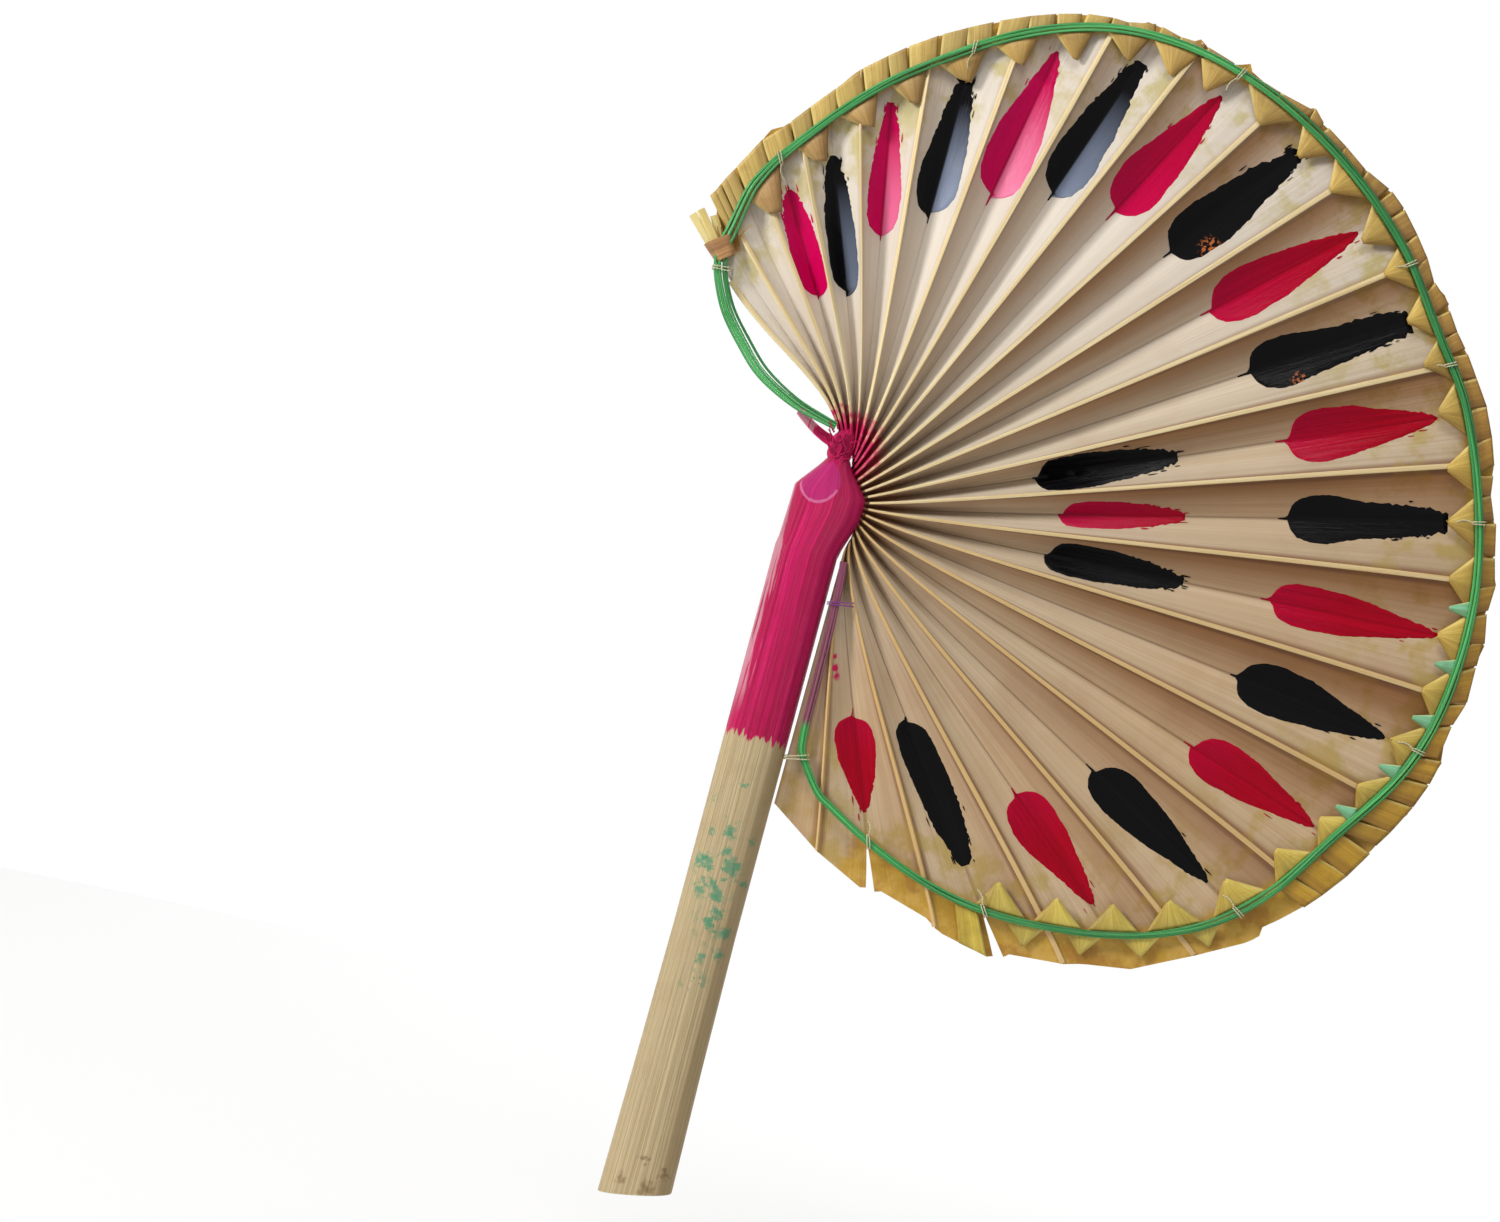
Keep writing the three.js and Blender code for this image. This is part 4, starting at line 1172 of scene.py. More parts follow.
def lay_paint(patch, line, start, end, left, right, seed, magenta, side, sheen_strength=0.0):
    """Drapes paint over the leaf; left and right give its edges (mm from the line) at even steps."""
    long, wide = len(left), 12
    sag, lift = sizes().pleat_sag / MM, sizes().paint_lift / MM
    gap = math.radians(abs(ANGLES[line - 1] - ANGLES[line + 1]) / 2)
    rows = np.zeros((long, wide + 1, 3))
    across = np.linspace(0, 1, wide + 1)
    for a in range(long):
        distance = start + (end - start) * a / (long - 1)
        offsets = left[a] + (right[a] - left[a]) * across
        for b, offset in enumerate(offsets):
            point = on_leaf(line + offset / (distance * gap), distance, sag, side)
            inside = 0 < b < wide and 0 < a < long - 1
            point[1] += side * (lift if inside else -PAINT_SUNK)
            rows[a, b] = point
    beside = left[:, None] + (right - left)[:, None] * across
    grain = grain_marks((np.linspace(0, end - start, long) * MM)[:, None], beside * MM, seed)
    run = np.linspace(0, 1, long)
    # Painted sheen over one half of the stroke, strongest near its base
    pale = np.interp(run, [0, 0.08, 0.4, 0.8], [0.5, 1, 0.7, 0])[:, None]
    pale = sheen_strength * pale * np.interp(across, [0.3, 0.45, 0.9, 1], [0, 1, 1, 0.8])[None, :]
    drift = np.interp(run, [0, 0.35, 1], [0.22, 0.06, -0.2])[:, None]
    patch.grid(rows, grain=grain, tone=np.clip(magenta + drift, 0, 1), bloom=pale)


def stroke_patch(patch, seam, shape, base, tip, half, magenta, seed, side=-1):
    """One brush stroke over a seam, with a few stray bristle marks beside its tip."""
    rng = np.random.default_rng(seed)
    line = 3 + 2 * seam if side < 0 else 2 + 2 * seam
    long = 52
    along = np.linspace(0, 1, long)
    knots = np.array(STROKE_SHAPES[shape])
    edges = []
    for sign in (-1, 1):
        late = rng.uniform(0, 0.05)
        swell = np.interp(np.clip((along - late) / (1 - late), 0, 1), knots[:, 0], knots[:, 1])
        slow = np.interp(along, np.linspace(0, 1, 9), rng.uniform(-0.05, 0.05, 9))
        rough = (0.004, 0.007, 0.02, 0.05) if shape == "petal" else (0.006, 0.014, 0.045, 0.11)
        ragged = rng.normal(0, 1, long) * np.interp(along, [0, 0.5, 0.85, 1], rough)
        beside = STROKE_LEAN.get(seam, (0,) * 5) if side < 0 else (0,) * 5
        lean = np.interp(along, [0, 0.08, 0.3, 0.65, 1], beside)
        edges.append(lean + sign * half * np.maximum(0.02, swell * (1 + slow) + ragged * swell**0.3))
    sheen_strength = SHEEN_STROKES.get(seam, 0) if side < 0 else 0
    lay_paint(patch, line, base, tip, edges[0], edges[1], seed, magenta, side, sheen_strength)
    for _ in range(3 if shape == "petal" else 11):
        length = rng.uniform(1.2, 4.5)
        start = rng.uniform(0.62, 1.0) * (tip - base) + base
        share = np.clip((start - base) / (tip - base), 0, 1)
        row = int(share * (long - 1))
        sign = rng.choice([0, 1])
        if share < 0.97:
            middle = edges[sign][row] * rng.uniform(0.7, 1.12)
        else:
            middle = rng.uniform(-0.35, 0.35) * half
        slim = rng.uniform(0.12, 0.34)
        taper = np.array([0.2, 1, 1, 0.6, 0.2]) * slim
        left, right = middle - taper, middle + taper
        lay_paint(patch, line, start, start + length, left, right, seed, magenta, side)


class PALMFAN_OT_strokes(bpy.types.Operator):
    """Paint the enamel strokes over the seams"""

    bl_idname = "palmfan.strokes"
    bl_label = "Painted strokes"

    def execute(self, context):
        # The last colour given to each enamel is its painted sheen
        red = enamel(
            "Red enamel", paint("red_paint"), paint("pink_paint"), opaque(132, 2, 22),
            opaque(246, 150, 190),
        )
        black = enamel(
            "Black enamel", paint("black_paint"), paint("black_paint"), opaque(17, 15, 18),
            opaque(150, 162, 188), WORN_SPOTS,
        )
        for colour, material in (("red", red), ("black", black)):
            patch = Patches()
            for i, (seam, kind, shape, base, tip, half, magenta) in enumerate(STROKES):
                if kind == colour:
                    stroke_patch(patch, seam, shape, base, tip, half, magenta, 100 + i)
            for i, (seam, kind, shape, base, tip, half) in enumerate(BACK_STROKES):
                if kind == colour:
                    stroke_patch(patch, seam, shape, base, tip, half, 0.7, 200 + i, side=1)
            piece = patch.piece(f"strokes_{colour}", material)
            tidy_mesh(piece, 60)
            fit(piece, "leaf")
        return {"FINISHED"}


# The edging

FOLD_CORNERS = ("left", "right", "head_left", "head_right")


def fold_tree():
    """Makes a domed fold between the four corners that are marked on each point."""
    tree, group = shape_tree("Fold the edging", "Rise")
    grid = add_node(tree, "GeometryNodeMeshGrid", {
        "Size X": 1.0, "Size Y": 1.0, "Vertices X": 11, "Vertices Y": 9,
    })
    position = add_node(tree, "GeometryNodeInputPosition").outputs[0]
    square = add_node(tree, "ShaderNodeSeparateXYZ", {0: position})
    stored = grid.outputs[0]
    for label, axis in (("across", "X"), ("up", "Y")):
        stored = marked(tree, stored, label, maths(tree, "ADD", square.outputs[axis], 0.5))
    copies = add_node(tree, "GeometryNodeInstanceOnPoints", {
        "Points": group.outputs["Geometry"], "Instance": stored,
    })
    real = add_node(tree, "GeometryNodeRealizeInstances", {0: copies.outputs[0]})
    across, up = named(tree, "across"), named(tree, "up")

    def mixed(factor, first, second):
        node = add_node(tree, "ShaderNodeMix", {0: factor, 4: first, 5: second}, data_type="VECTOR")
        return node.outputs[1]

    left, right, head_left, head_right = (named(tree, k, "FLOAT_VECTOR") for k in FOLD_CORNERS)
    place = mixed(up, mixed(across, left, right), mixed(across, head_left, head_right))
    off = maths(tree, "ABSOLUTE", maths(tree, "SUBTRACT", times(tree, across, 2.0), 1.0))
    arch = maths(tree, "SUBTRACT", 1.0, maths(tree, "POWER", off, 2.5))
    along = times(tree, times(tree, up, maths(tree, "SUBTRACT", 1.0, up)), 2.6)
    lift = times(tree, times(tree, arch, maths(tree, "ADD", along, 0.3)), group.outputs["Rise"])
    rise = times(tree, lift, named(tree, "swell"))
    raised = vector_maths(tree, "ADD", place, vector(tree, y=rise))
    placed = add_node(tree, "GeometryNodeSetPosition", {
        "Geometry": real.outputs[0], "Position": raised,
    })
    grained = store_grain(tree, placed.outputs[0], times(tree, up, 0.01), times(tree, across, 0.02))
    close_tree(tree, grained, group.outputs["Material"])
    return tree


# Folds of the edging that point into the leaf: line numbers of both feet and of the tip, then the depth
TEETH = (
    (3.1, 4.95, 4.2, 14.5), (5.7, 6.95, 6.6, 11.7), (7.3, 8.55, 8.3, 11.8), (8.9, 9.95, 9.75, 12.7),
    (10.2, 11.3, 11, 12), (11.4, 12.4, 12.2, 12), (12.7, 13.6, 13.5, 12.8), (13.85, 14.9, 14.7, 11),
    (14.95, 16.1, 15.8, 12), (16.1, 17.05, 16.65, 11.4), (17.2, 18.55, 18, 11),
    (18.6, 19.45, 19.05, 10.3), (19.5, 20.5, 20, 10.1), (20.65, 21.6, 21.2, 11), (21.6, 22.5, 22, 10),
    (22.6, 23.4, 23, 8.2), (23.5, 24.3, 23.9, 8.8), (24.35, 25.45, 24.9, 9.4),
    (25.6, 26.5, 26.05, 10), (26.55, 27.45, 27, 10.6), (27.55, 28.5, 28, 9.6),
    (28.55, 29.45, 29, 9.8), (29.5, 30.45, 30, 9.1), (30.5, 31.45, 31, 10), (31.5, 32.45, 32, 8.6),
    (32.5, 33.3, 32.85, 8.5), (33.4, 34.25, 33.8, 10.7), (34.4, 35.4, 34.8, 12.2),
    (35.55, 36.45, 35.8, 12.4), (36.55, 37.35, 36.7, 12.7), (37.42, 38.2, 37.6, 12.8),
    (38.3, 39.15, 38.55, 13.8),
)
# Where the margin's folds start and end, and the last flap of the strip: line numbers
MARGIN_STARTS, MARGIN_END = (1.3, 2.2), 34.3
FLAP_FEET, FLAP_HEADS = (39.12, 39.5), (39.2, 39.62)
# Small folds at the bottom that point outwards
POINTS_OUT = (
    (35.32, 35.86, 35.72, 8.2), (36.26, 36.89, 36.76, 9), (37.14, 37.71, 37.67, 9.6),
    (38.04, 38.67, 38.53, 10),
)
# Dye of the folds that point in, and of those that cover the margin, by line number
TOOTH_DYE = (
    (0, 188, 150, 98), (6, 190, 152, 96), (10, 196, 160, 92), (14, 204, 168, 90), (20, 208, 174, 86),
    (28, 214, 182, 84), (33, 226, 202, 94), (40, 230, 208, 100),
)
MARGIN_DYE = (
    (0, 212, 182, 106), (6, 214, 184, 102), (11, 214, 184, 100), (14, 210, 180, 96),
    (17, 190, 150, 68), (24, 184, 140, 56), (30, 198, 152, 46), (34, 208, 164, 46),
    (40, 224, 196, 70),
)
# Ridges beside which a mint strip shows between the folds
MINT_LINES = (28.5, 29.5, 30.5, 31.5, 32.5)
# How far the feet of the folds stand from the leaf's middle, under the hoop
FOOT_LIFT = 2.3


def edging_points(name, side, seed):
    """The corners of each fold: those that point into the leaf and those that cover the margin."""
    rng = np.random.default_rng(seed)
    corners, swells, tints = [[], [], [], []], [], []

    def angle_at(line):
        return np.interp(line, np.arange(len(ANGLES)), ANGLES)

    def corner(line, distance, y):
        flat = spot(angle_at(line), distance)
        return (flat[0] * MM, side * y * MM, flat[1] * MM)

    def hoop_at(line):
        return hoop_reach(angle_at(line))

    def rim_at(line):
        return reach(BLADE, angle_at(line)) + np.interp(line, RIM_STEPS[:, 0], RIM_STEPS[:, 1])

    def fold(feet, heads, swell, colour):
        for kept, place in zip(corners, (*feet, *heads)):
            kept.append(place)
        swells.append(swell * side)
        tints.append(colour)

    def dye(table, line):
        table = np.array(table, float)
        levels = [np.interp(line, table[:, 0], table[:, k]) for k in (1, 2, 3)]
        return screen(*(np.clip(np.array(levels) * rng.uniform(0.93, 1.05), 0, 255)))

    for first, last, tip, depth in TEETH:
        blunt = float(np.interp(tip, [4, 11, 14], [0.36, 0.3, 0.1])) * (last - first) / 2
        over_rib = 0.5 + 0.5 * math.cos(math.pi * tip)
        high = 1.5 + 1.6 * over_rib
        middle = tip + (0 if side < 0 else rng.uniform(-0.12, 0.12))
        feet = [corner(line, hoop_at(line) - 1, FOOT_LIFT) for line in (first, last)]
        deep = hoop_at(tip) - depth
        heads = [
            corner(middle - blunt, deep + blunt, high),
            corner(middle + blunt, deep - blunt * 0.6, high),
        ]
        fold(feet, heads, 1.35, dye(TOOTH_DYE, tip))
    starts = [first for first, last, tip, depth in TEETH if last < MARGIN_END]
    borders = [*MARGIN_STARTS, *starts, MARGIN_END]
    for first, last in zip(borders[:-1], borders[1:]):
        middle = (first + last) / 2 + rng.uniform(-0.12, 0.12)
        for a, b in ((first + 0.03, middle - 0.02), (middle + 0.02, last - 0.03)):
            feet = [corner(line, hoop_at(line) + 0.6, FOOT_LIFT) for line in (a, b)]
            slant = rng.uniform(-0.16, 0.02)
            heads = [corner(line + slant, rim_at(line + slant) - 0.1, 1.75) for line in (a, b + 0.03)]
            fold(feet, heads, 0.2, dye(MARGIN_DYE, middle))
    for first, last, tip, length in POINTS_OUT:
        feet = [corner(line, hoop_at(line) + 0.8, FOOT_LIFT) for line in (first, last)]
        heads = [corner(tip + shift, hoop_at(tip) + length, 1.4) for shift in (-0.02, 0.02)]
        fold(feet, heads, 0.7, dye(TOOTH_DYE, 38))
    feet = [corner(line, hoop_at(line) + 0.8, FOOT_LIFT) for line in FLAP_FEET]
    heads = [corner(line, rim_at(line) - 0.4, 1.5) for line in FLAP_HEADS]
    fold(feet, heads, 0.5, screen(232, 206, 84))
    for line in MINT_LINES:
        feet = [corner(line + shift, hoop_at(line) - 1.2, 3.2) for shift in (-0.17, 0.12)]
        heads = [corner(line + shift, hoop_at(line) - 8, 2.1) for shift in (-0.03, 0.03)]
        fold(feet, heads, 0.4, screen(132, 206, 160))
    marks = {label: np.array(kept) for label, kept in zip(FOLD_CORNERS, corners)}
    marks.update(lane=np.arange(len(swells)), swell=swells, tint=tints)
    return new_piece(name, marks["left"] / MM, marks=marks)


class PALMFAN_OT_edging(bpy.types.Operator):
    """Fold the dyed strip to and fro over the rim, on both faces"""

    bl_idname = "palmfan.edging"
    bl_label = "Folded edging"

    def execute(self, context):
        tree, material = fold_tree(), trim_material()
        for node, side, seed in (("edging_front", -1, 21), ("edging_back", 1, 22)):
            piece = edging_points(f"{node}_folds", side, seed)
            shape_with(piece, tree, {"Rise": sizes().fold_rise, "Material": material})
            tidy_mesh(piece, 40)
            solid = piece.modifiers.new("Thickness", "SOLIDIFY")
            solid.thickness = sizes().fold_thickness
            solid.offset = 0
            fit(piece, "edging", node)
        return {"FINISHED"}


# The hoop: the splints' distance, how much further apart they stand along the free edge, and its share
LANE_STEP, FREE_STEP = 0.92, 1.1
FREE_SHARE = 0.13


def hoop_strips(side, lanes, seed):
    """The splints of one face, each as a line with its girth, tilt and tone along it."""
    rng = np.random.default_rng(seed)
    ahead = np.roll(HOOP_PATH, -1, axis=0) - np.roll(HOOP_PATH, 1, axis=0)
    ahead[0], ahead[-1] = HOOP_PATH[1] - HOOP_PATH[0], HOOP_PATH[-1] - HOOP_PATH[-2]
    ahead /= np.linalg.norm(ahead, axis=1)[:, None]
    normal = np.stack([-ahead[:, 1], ahead[:, 0]], axis=1)
    at = np.linspace(0, 1, len(HOOP_PATH))
    # The splints stand further apart along the free edge, the first part of the hoop
    free = np.clip(np.sin(np.pi * np.clip(at / FREE_SHARE, 0, 1)), 0, 1)

    def wandering(low, high, knots=26):
        return np.interp(at, np.linspace(0, 1, knots), rng.uniform(low, high, knots))

    strips = []
    for i, lane in enumerate(lanes):
        shift = lane * (LANE_STEP + FREE_STEP * free) + wandering(-0.6, 0.6) * 0.6
        y = side * (HOOP_LIFT + 0.6 + wandering(-0.12, 0.25) + 0.12 * (1 - abs(lane)))
        line = upright(HOOP_PATH + normal * shift[:, None], y)
        girth, tilt = wandering(0.82, 1.12), wandering(-0.5, 0.5)
        tone = np.clip(wandering(-0.3, 0.5) + 0.55 * ((i + 1) % 2), 0, 1)
        strips.append((line, girth, tilt, tone))
    return strips


class PALMFAN_OT_hoop(bpy.types.Operator):
    """Bend the green splints round the leaf, three in front and two behind"""

    bl_idname = "palmfan.hoop"
    bl_label = "Splint hoop"

    def execute(self, context):
        material = splint_material()
        faces = (("hoop_front", -1, (-1, 0, 1), 31), ("hoop_back", 1, (-0.5, 0.5), 32))
        for name, side, lanes, seed in faces:
            for i, (line, girth, tilt, tone) in enumerate(hoop_strips(side, lanes, seed)):
                piece = line_piece(
                    f"{name}_splint_{i + 1}", [line], girth=[girth], tilt=[tilt],
                    lane=[np.full(len(line), float(i + seed))], tone=[tone],
                )
                sweep(piece, sizes().splint_width, sizes().splint_thickness, 0.0003, material)
                fit(piece, "splint", f"{name}_{i + 1}")
        return {"FINISHED"}


# Threads

# Angles near which the stitches stand
STITCHES = (117, 90, 62, 38, 27, 12, -9, -32, -58, -73)


def fuller(wave, power):
    """A sine or cosine with fuller flanks, for sections between a round and a box."""
    return np.sign(wave) * np.abs(wave) ** power


def thread_ring(centre, angle, half, rise):
    """A closed loop of thread over the hoop on both faces, in the plane of an angle."""
    turn = np.linspace(0, 2 * math.pi, 40, endpoint=False)
    out = fuller(np.cos(turn), 0.45) * half
    flat = centre[None, :] + out[:, None] * heading(angle)[None, :]
    ring = upright(flat, -fuller(np.sin(turn), 0.45) * rise)
    return np.concatenate([ring, ring[:2]])


class PALMFAN_OT_threads(bpy.types.Operator):
    """Sew the hoop to the leaf and tie it to the handle"""

    bl_idname = "palmfan.threads"
    bl_label = "Stitches and ties"

    def execute(self, context):
        white = thread_material("White thread", paint("thread"))
        purple = thread_material("Purple thread", paint("purple"))
        width, rise = sizes().thread_width, HOOP_LIFT + 1.9
        # Name, centre, angle, half width, half the gap between its two threads, and material
        jobs = []
        for i, near in enumerate(STITCHES):
            angle = min(ANGLES, key=lambda candidate: abs(candidate - near))
            place = spot(angle, hoop_reach(angle))
            jobs.append((f"stitch_{i + 1:02d}", place, angle, 2.4, 0.45, white))
        jobs += [
            ("tie_white", (15.4, 66.8), 15, 4.5, 0.6, white),
            ("tie_purple", (16.4, 122.5), 10.5, 4.6, 0.5, purple),
            ("tie_corner", (-53.8, 225.0), 4, 3.6, 0.5, white),
        ]
        for name, centre, angle, half, gap, material in jobs:
            step, beside = heading(angle), heading(angle + 90)
            lines = [
                thread_ring(np.asarray(centre) + beside * shift, angle + shift * 4, half, rise)
                for shift in (-gap, gap)
            ]
            if name.startswith("stitch"):
                inner = np.asarray(centre) - step * half
                run = np.linspace(0, 1, 14)
                bend = beside[None, :] * (np.sin(run * 3) * 0.9)[:, None]
                tail = inner[None, :] - step[None, :] * (run * 5.5)[:, None] + bend
                lines.append(upright(tail, -rise + run * 1.6))
            piece = line_piece(f"{name}_thread", lines)
            sweep(piece, width, width, width * 0.45, material)
            fit(piece, "purple_thread" if name == "tie_purple" else "thread", name)
        return {"FINISHED"}


# The handle: the butt's height and slant, where the grip ends, and how thick the stalk is each way
BUTT = -95.0
BUTT_SLANT = 12.7
GRIP_TOP = 70.0
STALK_FRONT, STALK_BACK = 7, 4

# Width, thickness and corner of the loose fibres on the head, in metres
HEAD_FIBRE = (0.0007, 0.0005, 0.0001)

# The head: height from the focus in shares of its reach, then its four sides in shares of the grip's
HEAD_SHARES = (
    (-1.15, -1, 1, 1, 1), (-0.96, -0.95, 1.07, 1, 0.95), (-0.68, -0.93, 1.23, 1, 0.9),
    (-0.42, -0.91, 1.39, 0.98, 0.85), (-0.03, -0.89, 1.43, 0.92, 0.8), (0.25, -0.5, 1, 0.82, 0.75),
    (0.4, -0.29, 0.77, 0.76, 0.72), (0.65, 0, 0.53, 0.68, 0.7), (0.8, -0.04, 0.38, 0.6, 0.65),
    (0.95, -0.05, 0.12, 0.5, 0.6),
)


def stalk_rows(levels):
    """Rings round the stalk: a full rounded front with faint ribs, and a flat split back."""
    halves = ((BUTT, 12.7), (BUTT / 2, 11.8), (0, GRIP_HALF), (GRIP_TOP, GRIP_HALF))
    knots = [(up, -half, half, STALK_FRONT, STALK_BACK) for up, half in halves]
    for up, left, right, front, back in HEAD_SHARES:
        sides = (left * GRIP_HALF, right * GRIP_HALF, STALK_FRONT * front, STALK_BACK * back)
        knots.append((FOCUS[1] + up * HEAD_REACH, *sides))
    knots = np.array(knots, float)
    measures = [np.interp(levels, knots[:, 0], knots[:, k]) for k in range(1, 5)]
    turns = np.concatenate([np.linspace(0, math.pi, 38), math.pi + np.linspace(0, math.pi, 20)[1:-1]])
    ribs = np.random.default_rng(5).normal(0, 1, len(turns))
    slope = math.tan(math.radians(BUTT_SLANT))
    rows = []
    for level, left, right, front, back in zip(levels, *measures):
        middle, half = (left + right) / 2, (right - left) / 2
        slant = slope * max(0, min(1, (BUTT / 2 - level) / (-BUTT / 2)))
        ring = []
        for rib, turn in zip(ribs, turns):
            if turn <= math.pi:
                bulge = math.sin(turn) ** 0.62 * (1 + 0.14 * math.cos(turn))
                x = middle + half * math.cos(turn)
                y = back - (front + back) * bulge + 0.1 * rib * math.sin(turn)
            else:
                share = (turn - math.pi) / math.pi
                x = middle - half + 2 * half * share
                y = back
            ring.append((x, y, level + x * slant))
        rows.append([*ring, ring[0]])
    return np.array(rows)


class PALMFAN_OT_handle(bpy.types.Operator):
    """Shape the split stalk and its swollen head"""

    bl_idname = "palmfan.handle"
    bl_label = "Handle"

    def execute(self, context):
        levels = np.concatenate([np.linspace(BUTT, 130, 120), np.linspace(131.5, 179, 60)])
        rows = stalk_rows(levels)
        around = np.append(np.linspace(0, 0.05, rows.shape[1] - 1), 0)
        patch = Patches()
        patch.capped(rows, grain_marks((levels * MM)[:, None], around, 0))
        material = stalk_material()
        piece = patch.piece("stalk_handle", material)
        tidy_mesh(piece, 50)
        fit(piece, "stalk", "handle")
        self.knot(material)
        return {"FINISHED"}

    def knot(self, material):
        """The lump where the leaf leaves the head, the head's edge under the hoop, and loose fibres."""
        rng = np.random.default_rng(17)
        patch = Patches()
        down = np.linspace(0.02, math.pi - 0.02, 21)[:, None]
        around = np.linspace(0, 2 * math.pi, 41)
        lumps = rng.uniform(0.94, 1.04, (21, 41))
        lumps[:, -1] = lumps[:, 0]
        lumps[0], lumps[-1] = 1, 1
        ring = np.sin(down) * lumps
        x = 2.6 + 4.6 * ring * np.cos(around) + 0.5 * np.cos(down)
        y = -0.6 + 3.9 * ring * np.sin(around)
        z = 175.2 + 7.2 * np.cos(down) * np.ones(41)
        patch.capped(np.stack([x, y, z], axis=2), grain_marks(z * MM, around * 0.005, 4))
        piece = patch.piece("head_knot", material)
        tidy_mesh(piece, 60)
        fit(piece, "stalk")
        run = np.linspace(0, 1, 10)
        lines = []
        for shift in (-1.1, 0, 1.1):
            height = 184.2 - 8 * run + shift * (0.4 + 0.6 * run) - 1.4 * np.sin(run * 3)
            lines.append(upright(np.stack([-15.1 + 16.6 * run, height], axis=1), 0.8 + shift * 0.2))
        for _ in range(16):
            begin = np.array([rng.uniform(-1.5, 5.5), rng.uniform(170, 180)])
            step = heading(rng.uniform(20, 160))
            run = np.linspace(0, rng.uniform(3, 6), 10)
            bend = rng.uniform(-0.08, 0.08) * run**2
            flat = begin + run[:, None] * step + bend[:, None] * heading(rng.uniform(0, 360))
            lines.append(upright(flat, -4.6 - 0.5 * np.sin(run)))
        girths = [np.full(10, 3.0)] * 3 + [np.linspace(0.9, 0.4, 10)] * 16
        piece = line_piece("head_fibres", lines, girth=girths)
        sweep(piece, *HEAD_FIBRE, material)
        fit(piece, "stalk")


# The corner: the wrap's mouth and narrow end, and each strip end from root to tip with its depth
WRAP_MOUTH = np.array([(-62.3, 231.5), (-53.6, 238.2)])
WRAP_NARROW = np.array([(-56.6, 226.5), (-50.9, 230.9)])
STRIP_ENDS = (
    ((-59.5, 231.5), (-68.9, 240.8), -1.4), ((-58, 232.8), (-66.6, 243), -2.2),
    ((-56.6, 234), (-61.5, 242.3), -1.2),
)

# Width, thickness and corner of a strip end and of a loose fibre, in metres
STRIP_END = (0.0029, 0.0006, 0.0002)
CORNER_FIBRE = (0.0007, 0.00035, 0.0001)


class PALMFAN_OT_corner(bpy.types.Operator):
    """Wrap the corner and leave the strip ends sticking out"""

    bl_idname = "palmfan.corner"
    bl_label = "Corner wrap"

    def execute(self, context):
        self.wrap()
        self.strip_ends()
        self.fibres()
        return {"FINISHED"}

    def wrap(self):
        rise = HOOP_LIFT + 1.8
        patch = Patches()
        turns = np.linspace(0, 2 * math.pi, 49)
        out, front = fuller(np.cos(turns), 0.6), -fuller(np.sin(turns), 0.75)
        for skin, turned in ((0.0, False), (-0.5, True)):
            rows = []
            shares = np.linspace(0, 1, 14)
            for share in shares:
                left, right = WRAP_MOUTH * (1 - share) + WRAP_NARROW * share
                middle, half = (left + right) / 2, (right - left) / 2
                half = half * (1 + skin / np.linalg.norm(half))
                flat = middle[None, :] + out[:, None] * half[None, :]
                rows.append(upright(flat, front * (rise + skin)))
            patch.grid(rows, turned, grain=grain_marks(turns * 0.004, shares[:, None] * 0.008, 2))
        brown = strip_material("Brown strip", paint("wrap"), opaque(140, 96, 54))
        piece = patch.piece("corner_wrap_strip", brown)
        tidy_mesh(piece)
        fit(piece, "wrap", "corner_wrap")

    def strip_ends(self):
        run = np.linspace(-0.4, 1, 12)[:, None]
        lines = []
        for begin, end, y in STRIP_ENDS:
            flat = np.array(begin) * (1 - run) + np.array(end) * run
            lines.append(upright(flat, y))
        piece = line_piece("strip_ends", lines, tilt=[np.full(12, k * 0.2) for k in (-1, 0, 1)])
        pale = strip_material("Pale strip ends", paint("strip_ends"), opaque(214, 184, 96))
        sweep(piece, *STRIP_END, pale)
        fit(piece, "strip_ends", "corner_tab")

    def fibres(self):
        rng = np.random.default_rng(12)
        lines = []
        for k in range(9):
            begin = np.array([-57.5 + k * 0.9, 235.5 + rng.uniform(-1, 1.5)])
            step = heading(rng.uniform(70, 125))
            run = np.linspace(0, rng.uniform(3.5, 7), 8)
            bend = rng.uniform(-0.03, 0.03) * run**2
            flat = begin + run[:, None] * step + bend[:, None] * np.array([-step[1], step[0]])
            lines.append(upright(flat, -2.4 - run * rng.uniform(0, 0.25)))
        piece = line_piece("corner_fibres", lines, girth=[np.linspace(1, 0.5, 8)] * 9)
        brown = strip_material("Brown fibres", opaque(196, 152, 84), opaque(128, 90, 44))
        sweep(piece, *CORNER_FIBRE, brown)
        fit(piece, "wrap")


# The stage

def aim(thing, target):
    direction = Vector(target) - thing.location
    thing.rotation_euler = direction.to_track_quat("-Z", "Y").to_euler()


def add_lamp(name, place, target, size, power, colour=(1, 1, 1)):
    light = bpy.data.lights.new(name, "AREA")
    light.shape = "DISK"
    light.size = size
    light.energy = power
    light.color = colour
    lamp = bpy.data.objects.new(name, light)
    bpy.context.scene.collection.objects.link(lamp)
    lamp.location = place
    aim(lamp, target)


def seen_plainly(tree):
    """1 for rays that see the backdrop directly, in a mirror or through glass."""
    path = add_node(tree, "ShaderNodeLightPath")
    seen = maths(tree, "ADD", path.outputs["Is Camera Ray"], path.outputs["Is Glossy Ray"])
    return maths(tree, "ADD", seen, path.outputs["Is Transmission Ray"], clamp=True)


def mix_shaders(tree, share, first, second, output):
    """Sends a mix of two shaders to a material's or a world's output."""
    mixed = add_node(tree, "ShaderNodeMixShader", {0: share, 1: first.outputs[0], 2: second.outputs[0]})
    tree.links.new(mixed.outputs[0], tree.nodes[output].inputs["Surface"])


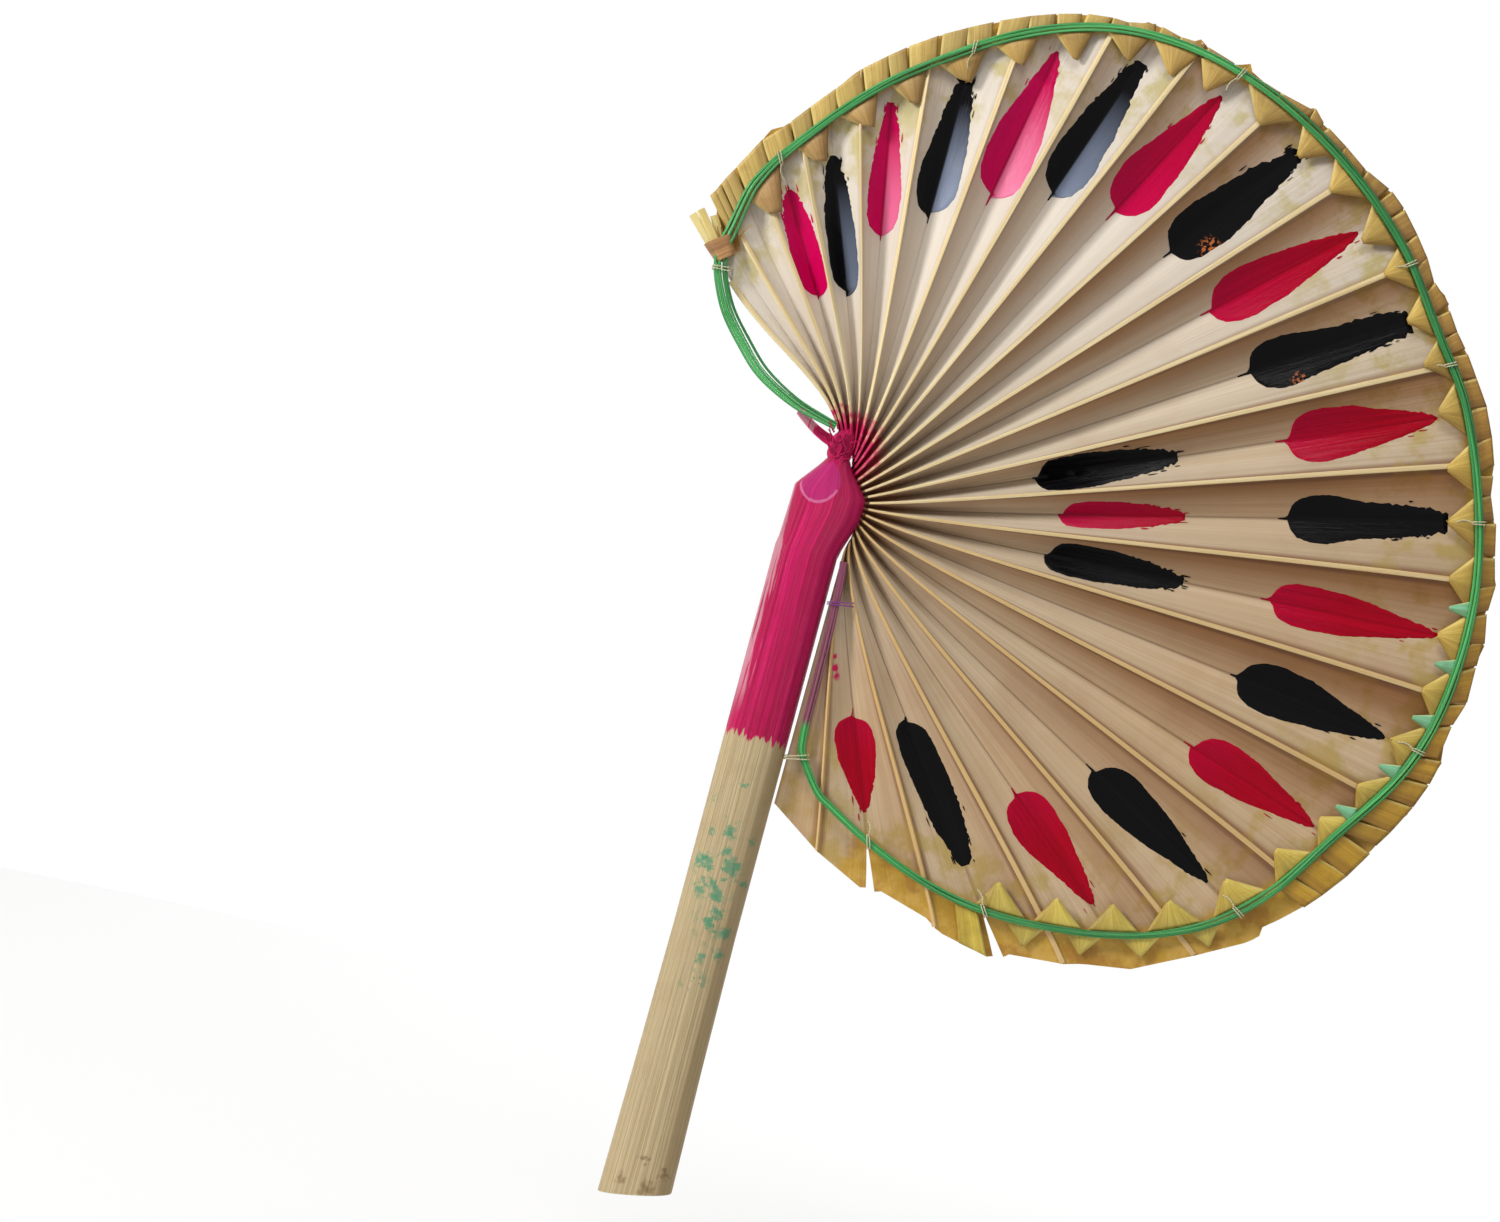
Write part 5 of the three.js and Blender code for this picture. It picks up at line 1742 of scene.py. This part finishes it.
def add_floor():
    material, tree, shader = start_material("Pale floor")
    shader.inputs["Base Color"].default_value = (0.86, 0.86, 0.86, 1)
    shader.inputs["Roughness"].default_value = 0.9
    glow = add_node(tree, "ShaderNodeEmission", {"Color": (1, 1, 1, 1), "Strength": 1.0})
    mix_shaders(tree, times(tree, seen_plainly(tree), 0.55), shader, glow, "Material Output")
    # The slanting butt reaches 3 mm below its middle
    level, wide = BUTT - 3 - sizes().floor_drop / MM, 900
    turns = np.linspace(0, 2 * math.pi, 64, endpoint=False)
    ring = [(BLADE[0] + wide * math.cos(turn), wide * math.sin(turn), level) for turn in turns]
    floor = new_piece("floor", ring, faces=[tuple(range(len(ring)))], material=material)


def add_world(scene):
    """Soft light all round, and plain white where the backdrop is seen."""
    scene.world = bpy.data.worlds.new("Studio")
    scene.world.use_nodes = True
    tree = scene.world.node_tree
    soft = add_node(tree, "ShaderNodeBackground", {"Color": (1, 0.99, 0.97, 1), "Strength": 0.2})
    plain = add_node(tree, "ShaderNodeBackground", {"Color": (1, 1, 1, 1), "Strength": 1.0})
    mix_shaders(tree, seen_plainly(tree), soft, plain, "World Output")


def add_camera(scene):
    """Looks straight at the painted face, rolled so that the handle leans as in the photograph."""
    camera_data = bpy.data.cameras.new("Camera")
    camera_data.lens = 85
    camera = bpy.data.objects.new("Camera", camera_data)
    scene.collection.objects.link(camera)
    roll = math.radians(15)
    right = Vector((math.cos(roll), 0, math.sin(roll)))
    up = Vector((-math.sin(roll), 0, math.cos(roll)))
    turn = Matrix((right, up, (0, -1, 0))).transposed()
    camera.matrix_world = Matrix.Translation((-0.0136, -1.2396, 0.1119)) @ turn.to_4x4()
    scene.camera = camera


class PALMFAN_OT_stage(bpy.types.Operator):
    """Set the floor, the lamps and the camera"""

    bl_idname = "palmfan.stage"
    bl_label = "Floor, light and camera"

    def execute(self, context):
        context.scene.view_settings.view_transform = "Standard"
        add_floor()
        add_world(context.scene)
        middle = (0.08, 0, 0.18)
        add_lamp("Window", (-1.36, -0.72, 0.7), middle, 0.38, 19.5, (1, 0.99, 0.97))
        add_lamp("Sky", (-0.25, -0.95, 1.65), middle, 0.8, 12)
        add_lamp("Back", (0.3, 1.3, 0.9), middle, 1.2, 16)
        add_camera(context.scene)
        return {"FINISHED"}


class PALMFAN_PT_panel(bpy.types.Panel):
    """Sizes, colours and pieces of the fan"""

    bl_idname = "PALMFAN_PT_panel"
    bl_label = "Palm Leaf Fan"
    bl_space_type = "VIEW_3D"
    bl_region_type = "UI"
    bl_category = "Palm Fan"

    def draw(self, context):
        layout = self.layout
        for group in (context.scene.palm_fan_sizes, context.scene.palm_fan_colours):
            box = layout.box()
            for key in group.__annotations__:
                box.prop(group, key)
        for operator in OPERATORS:
            layout.operator(operator.bl_idname)


OPERATORS = (
    PALMFAN_OT_stage, PALMFAN_OT_leaf, PALMFAN_OT_ribs, PALMFAN_OT_strokes, PALMFAN_OT_edging,
    PALMFAN_OT_hoop, PALMFAN_OT_threads, PALMFAN_OT_handle, PALMFAN_OT_corner,
)
CLASSES = (PalmFanSizes, PalmFanColours, *OPERATORS, PALMFAN_PT_panel)


def register():
    for item in CLASSES:
        bpy.utils.register_class(item)
    bpy.types.Scene.palm_fan_sizes = bpy.props.PointerProperty(type=PalmFanSizes)
    bpy.types.Scene.palm_fan_colours = bpy.props.PointerProperty(type=PalmFanColours)


def unregister():
    del bpy.types.Scene.palm_fan_colours
    del bpy.types.Scene.palm_fan_sizes
    for item in reversed(CLASSES):
        bpy.utils.unregister_class(item)


def main():
    register()
    bpy.ops.palmfan.stage()
    bpy.ops.palmfan.leaf()
    bpy.ops.palmfan.ribs()
    bpy.ops.palmfan.strokes()
    bpy.ops.palmfan.edging()
    bpy.ops.palmfan.hoop()
    bpy.ops.palmfan.threads()
    bpy.ops.palmfan.handle()
    bpy.ops.palmfan.corner()


if __name__ == "__main__":
    main()
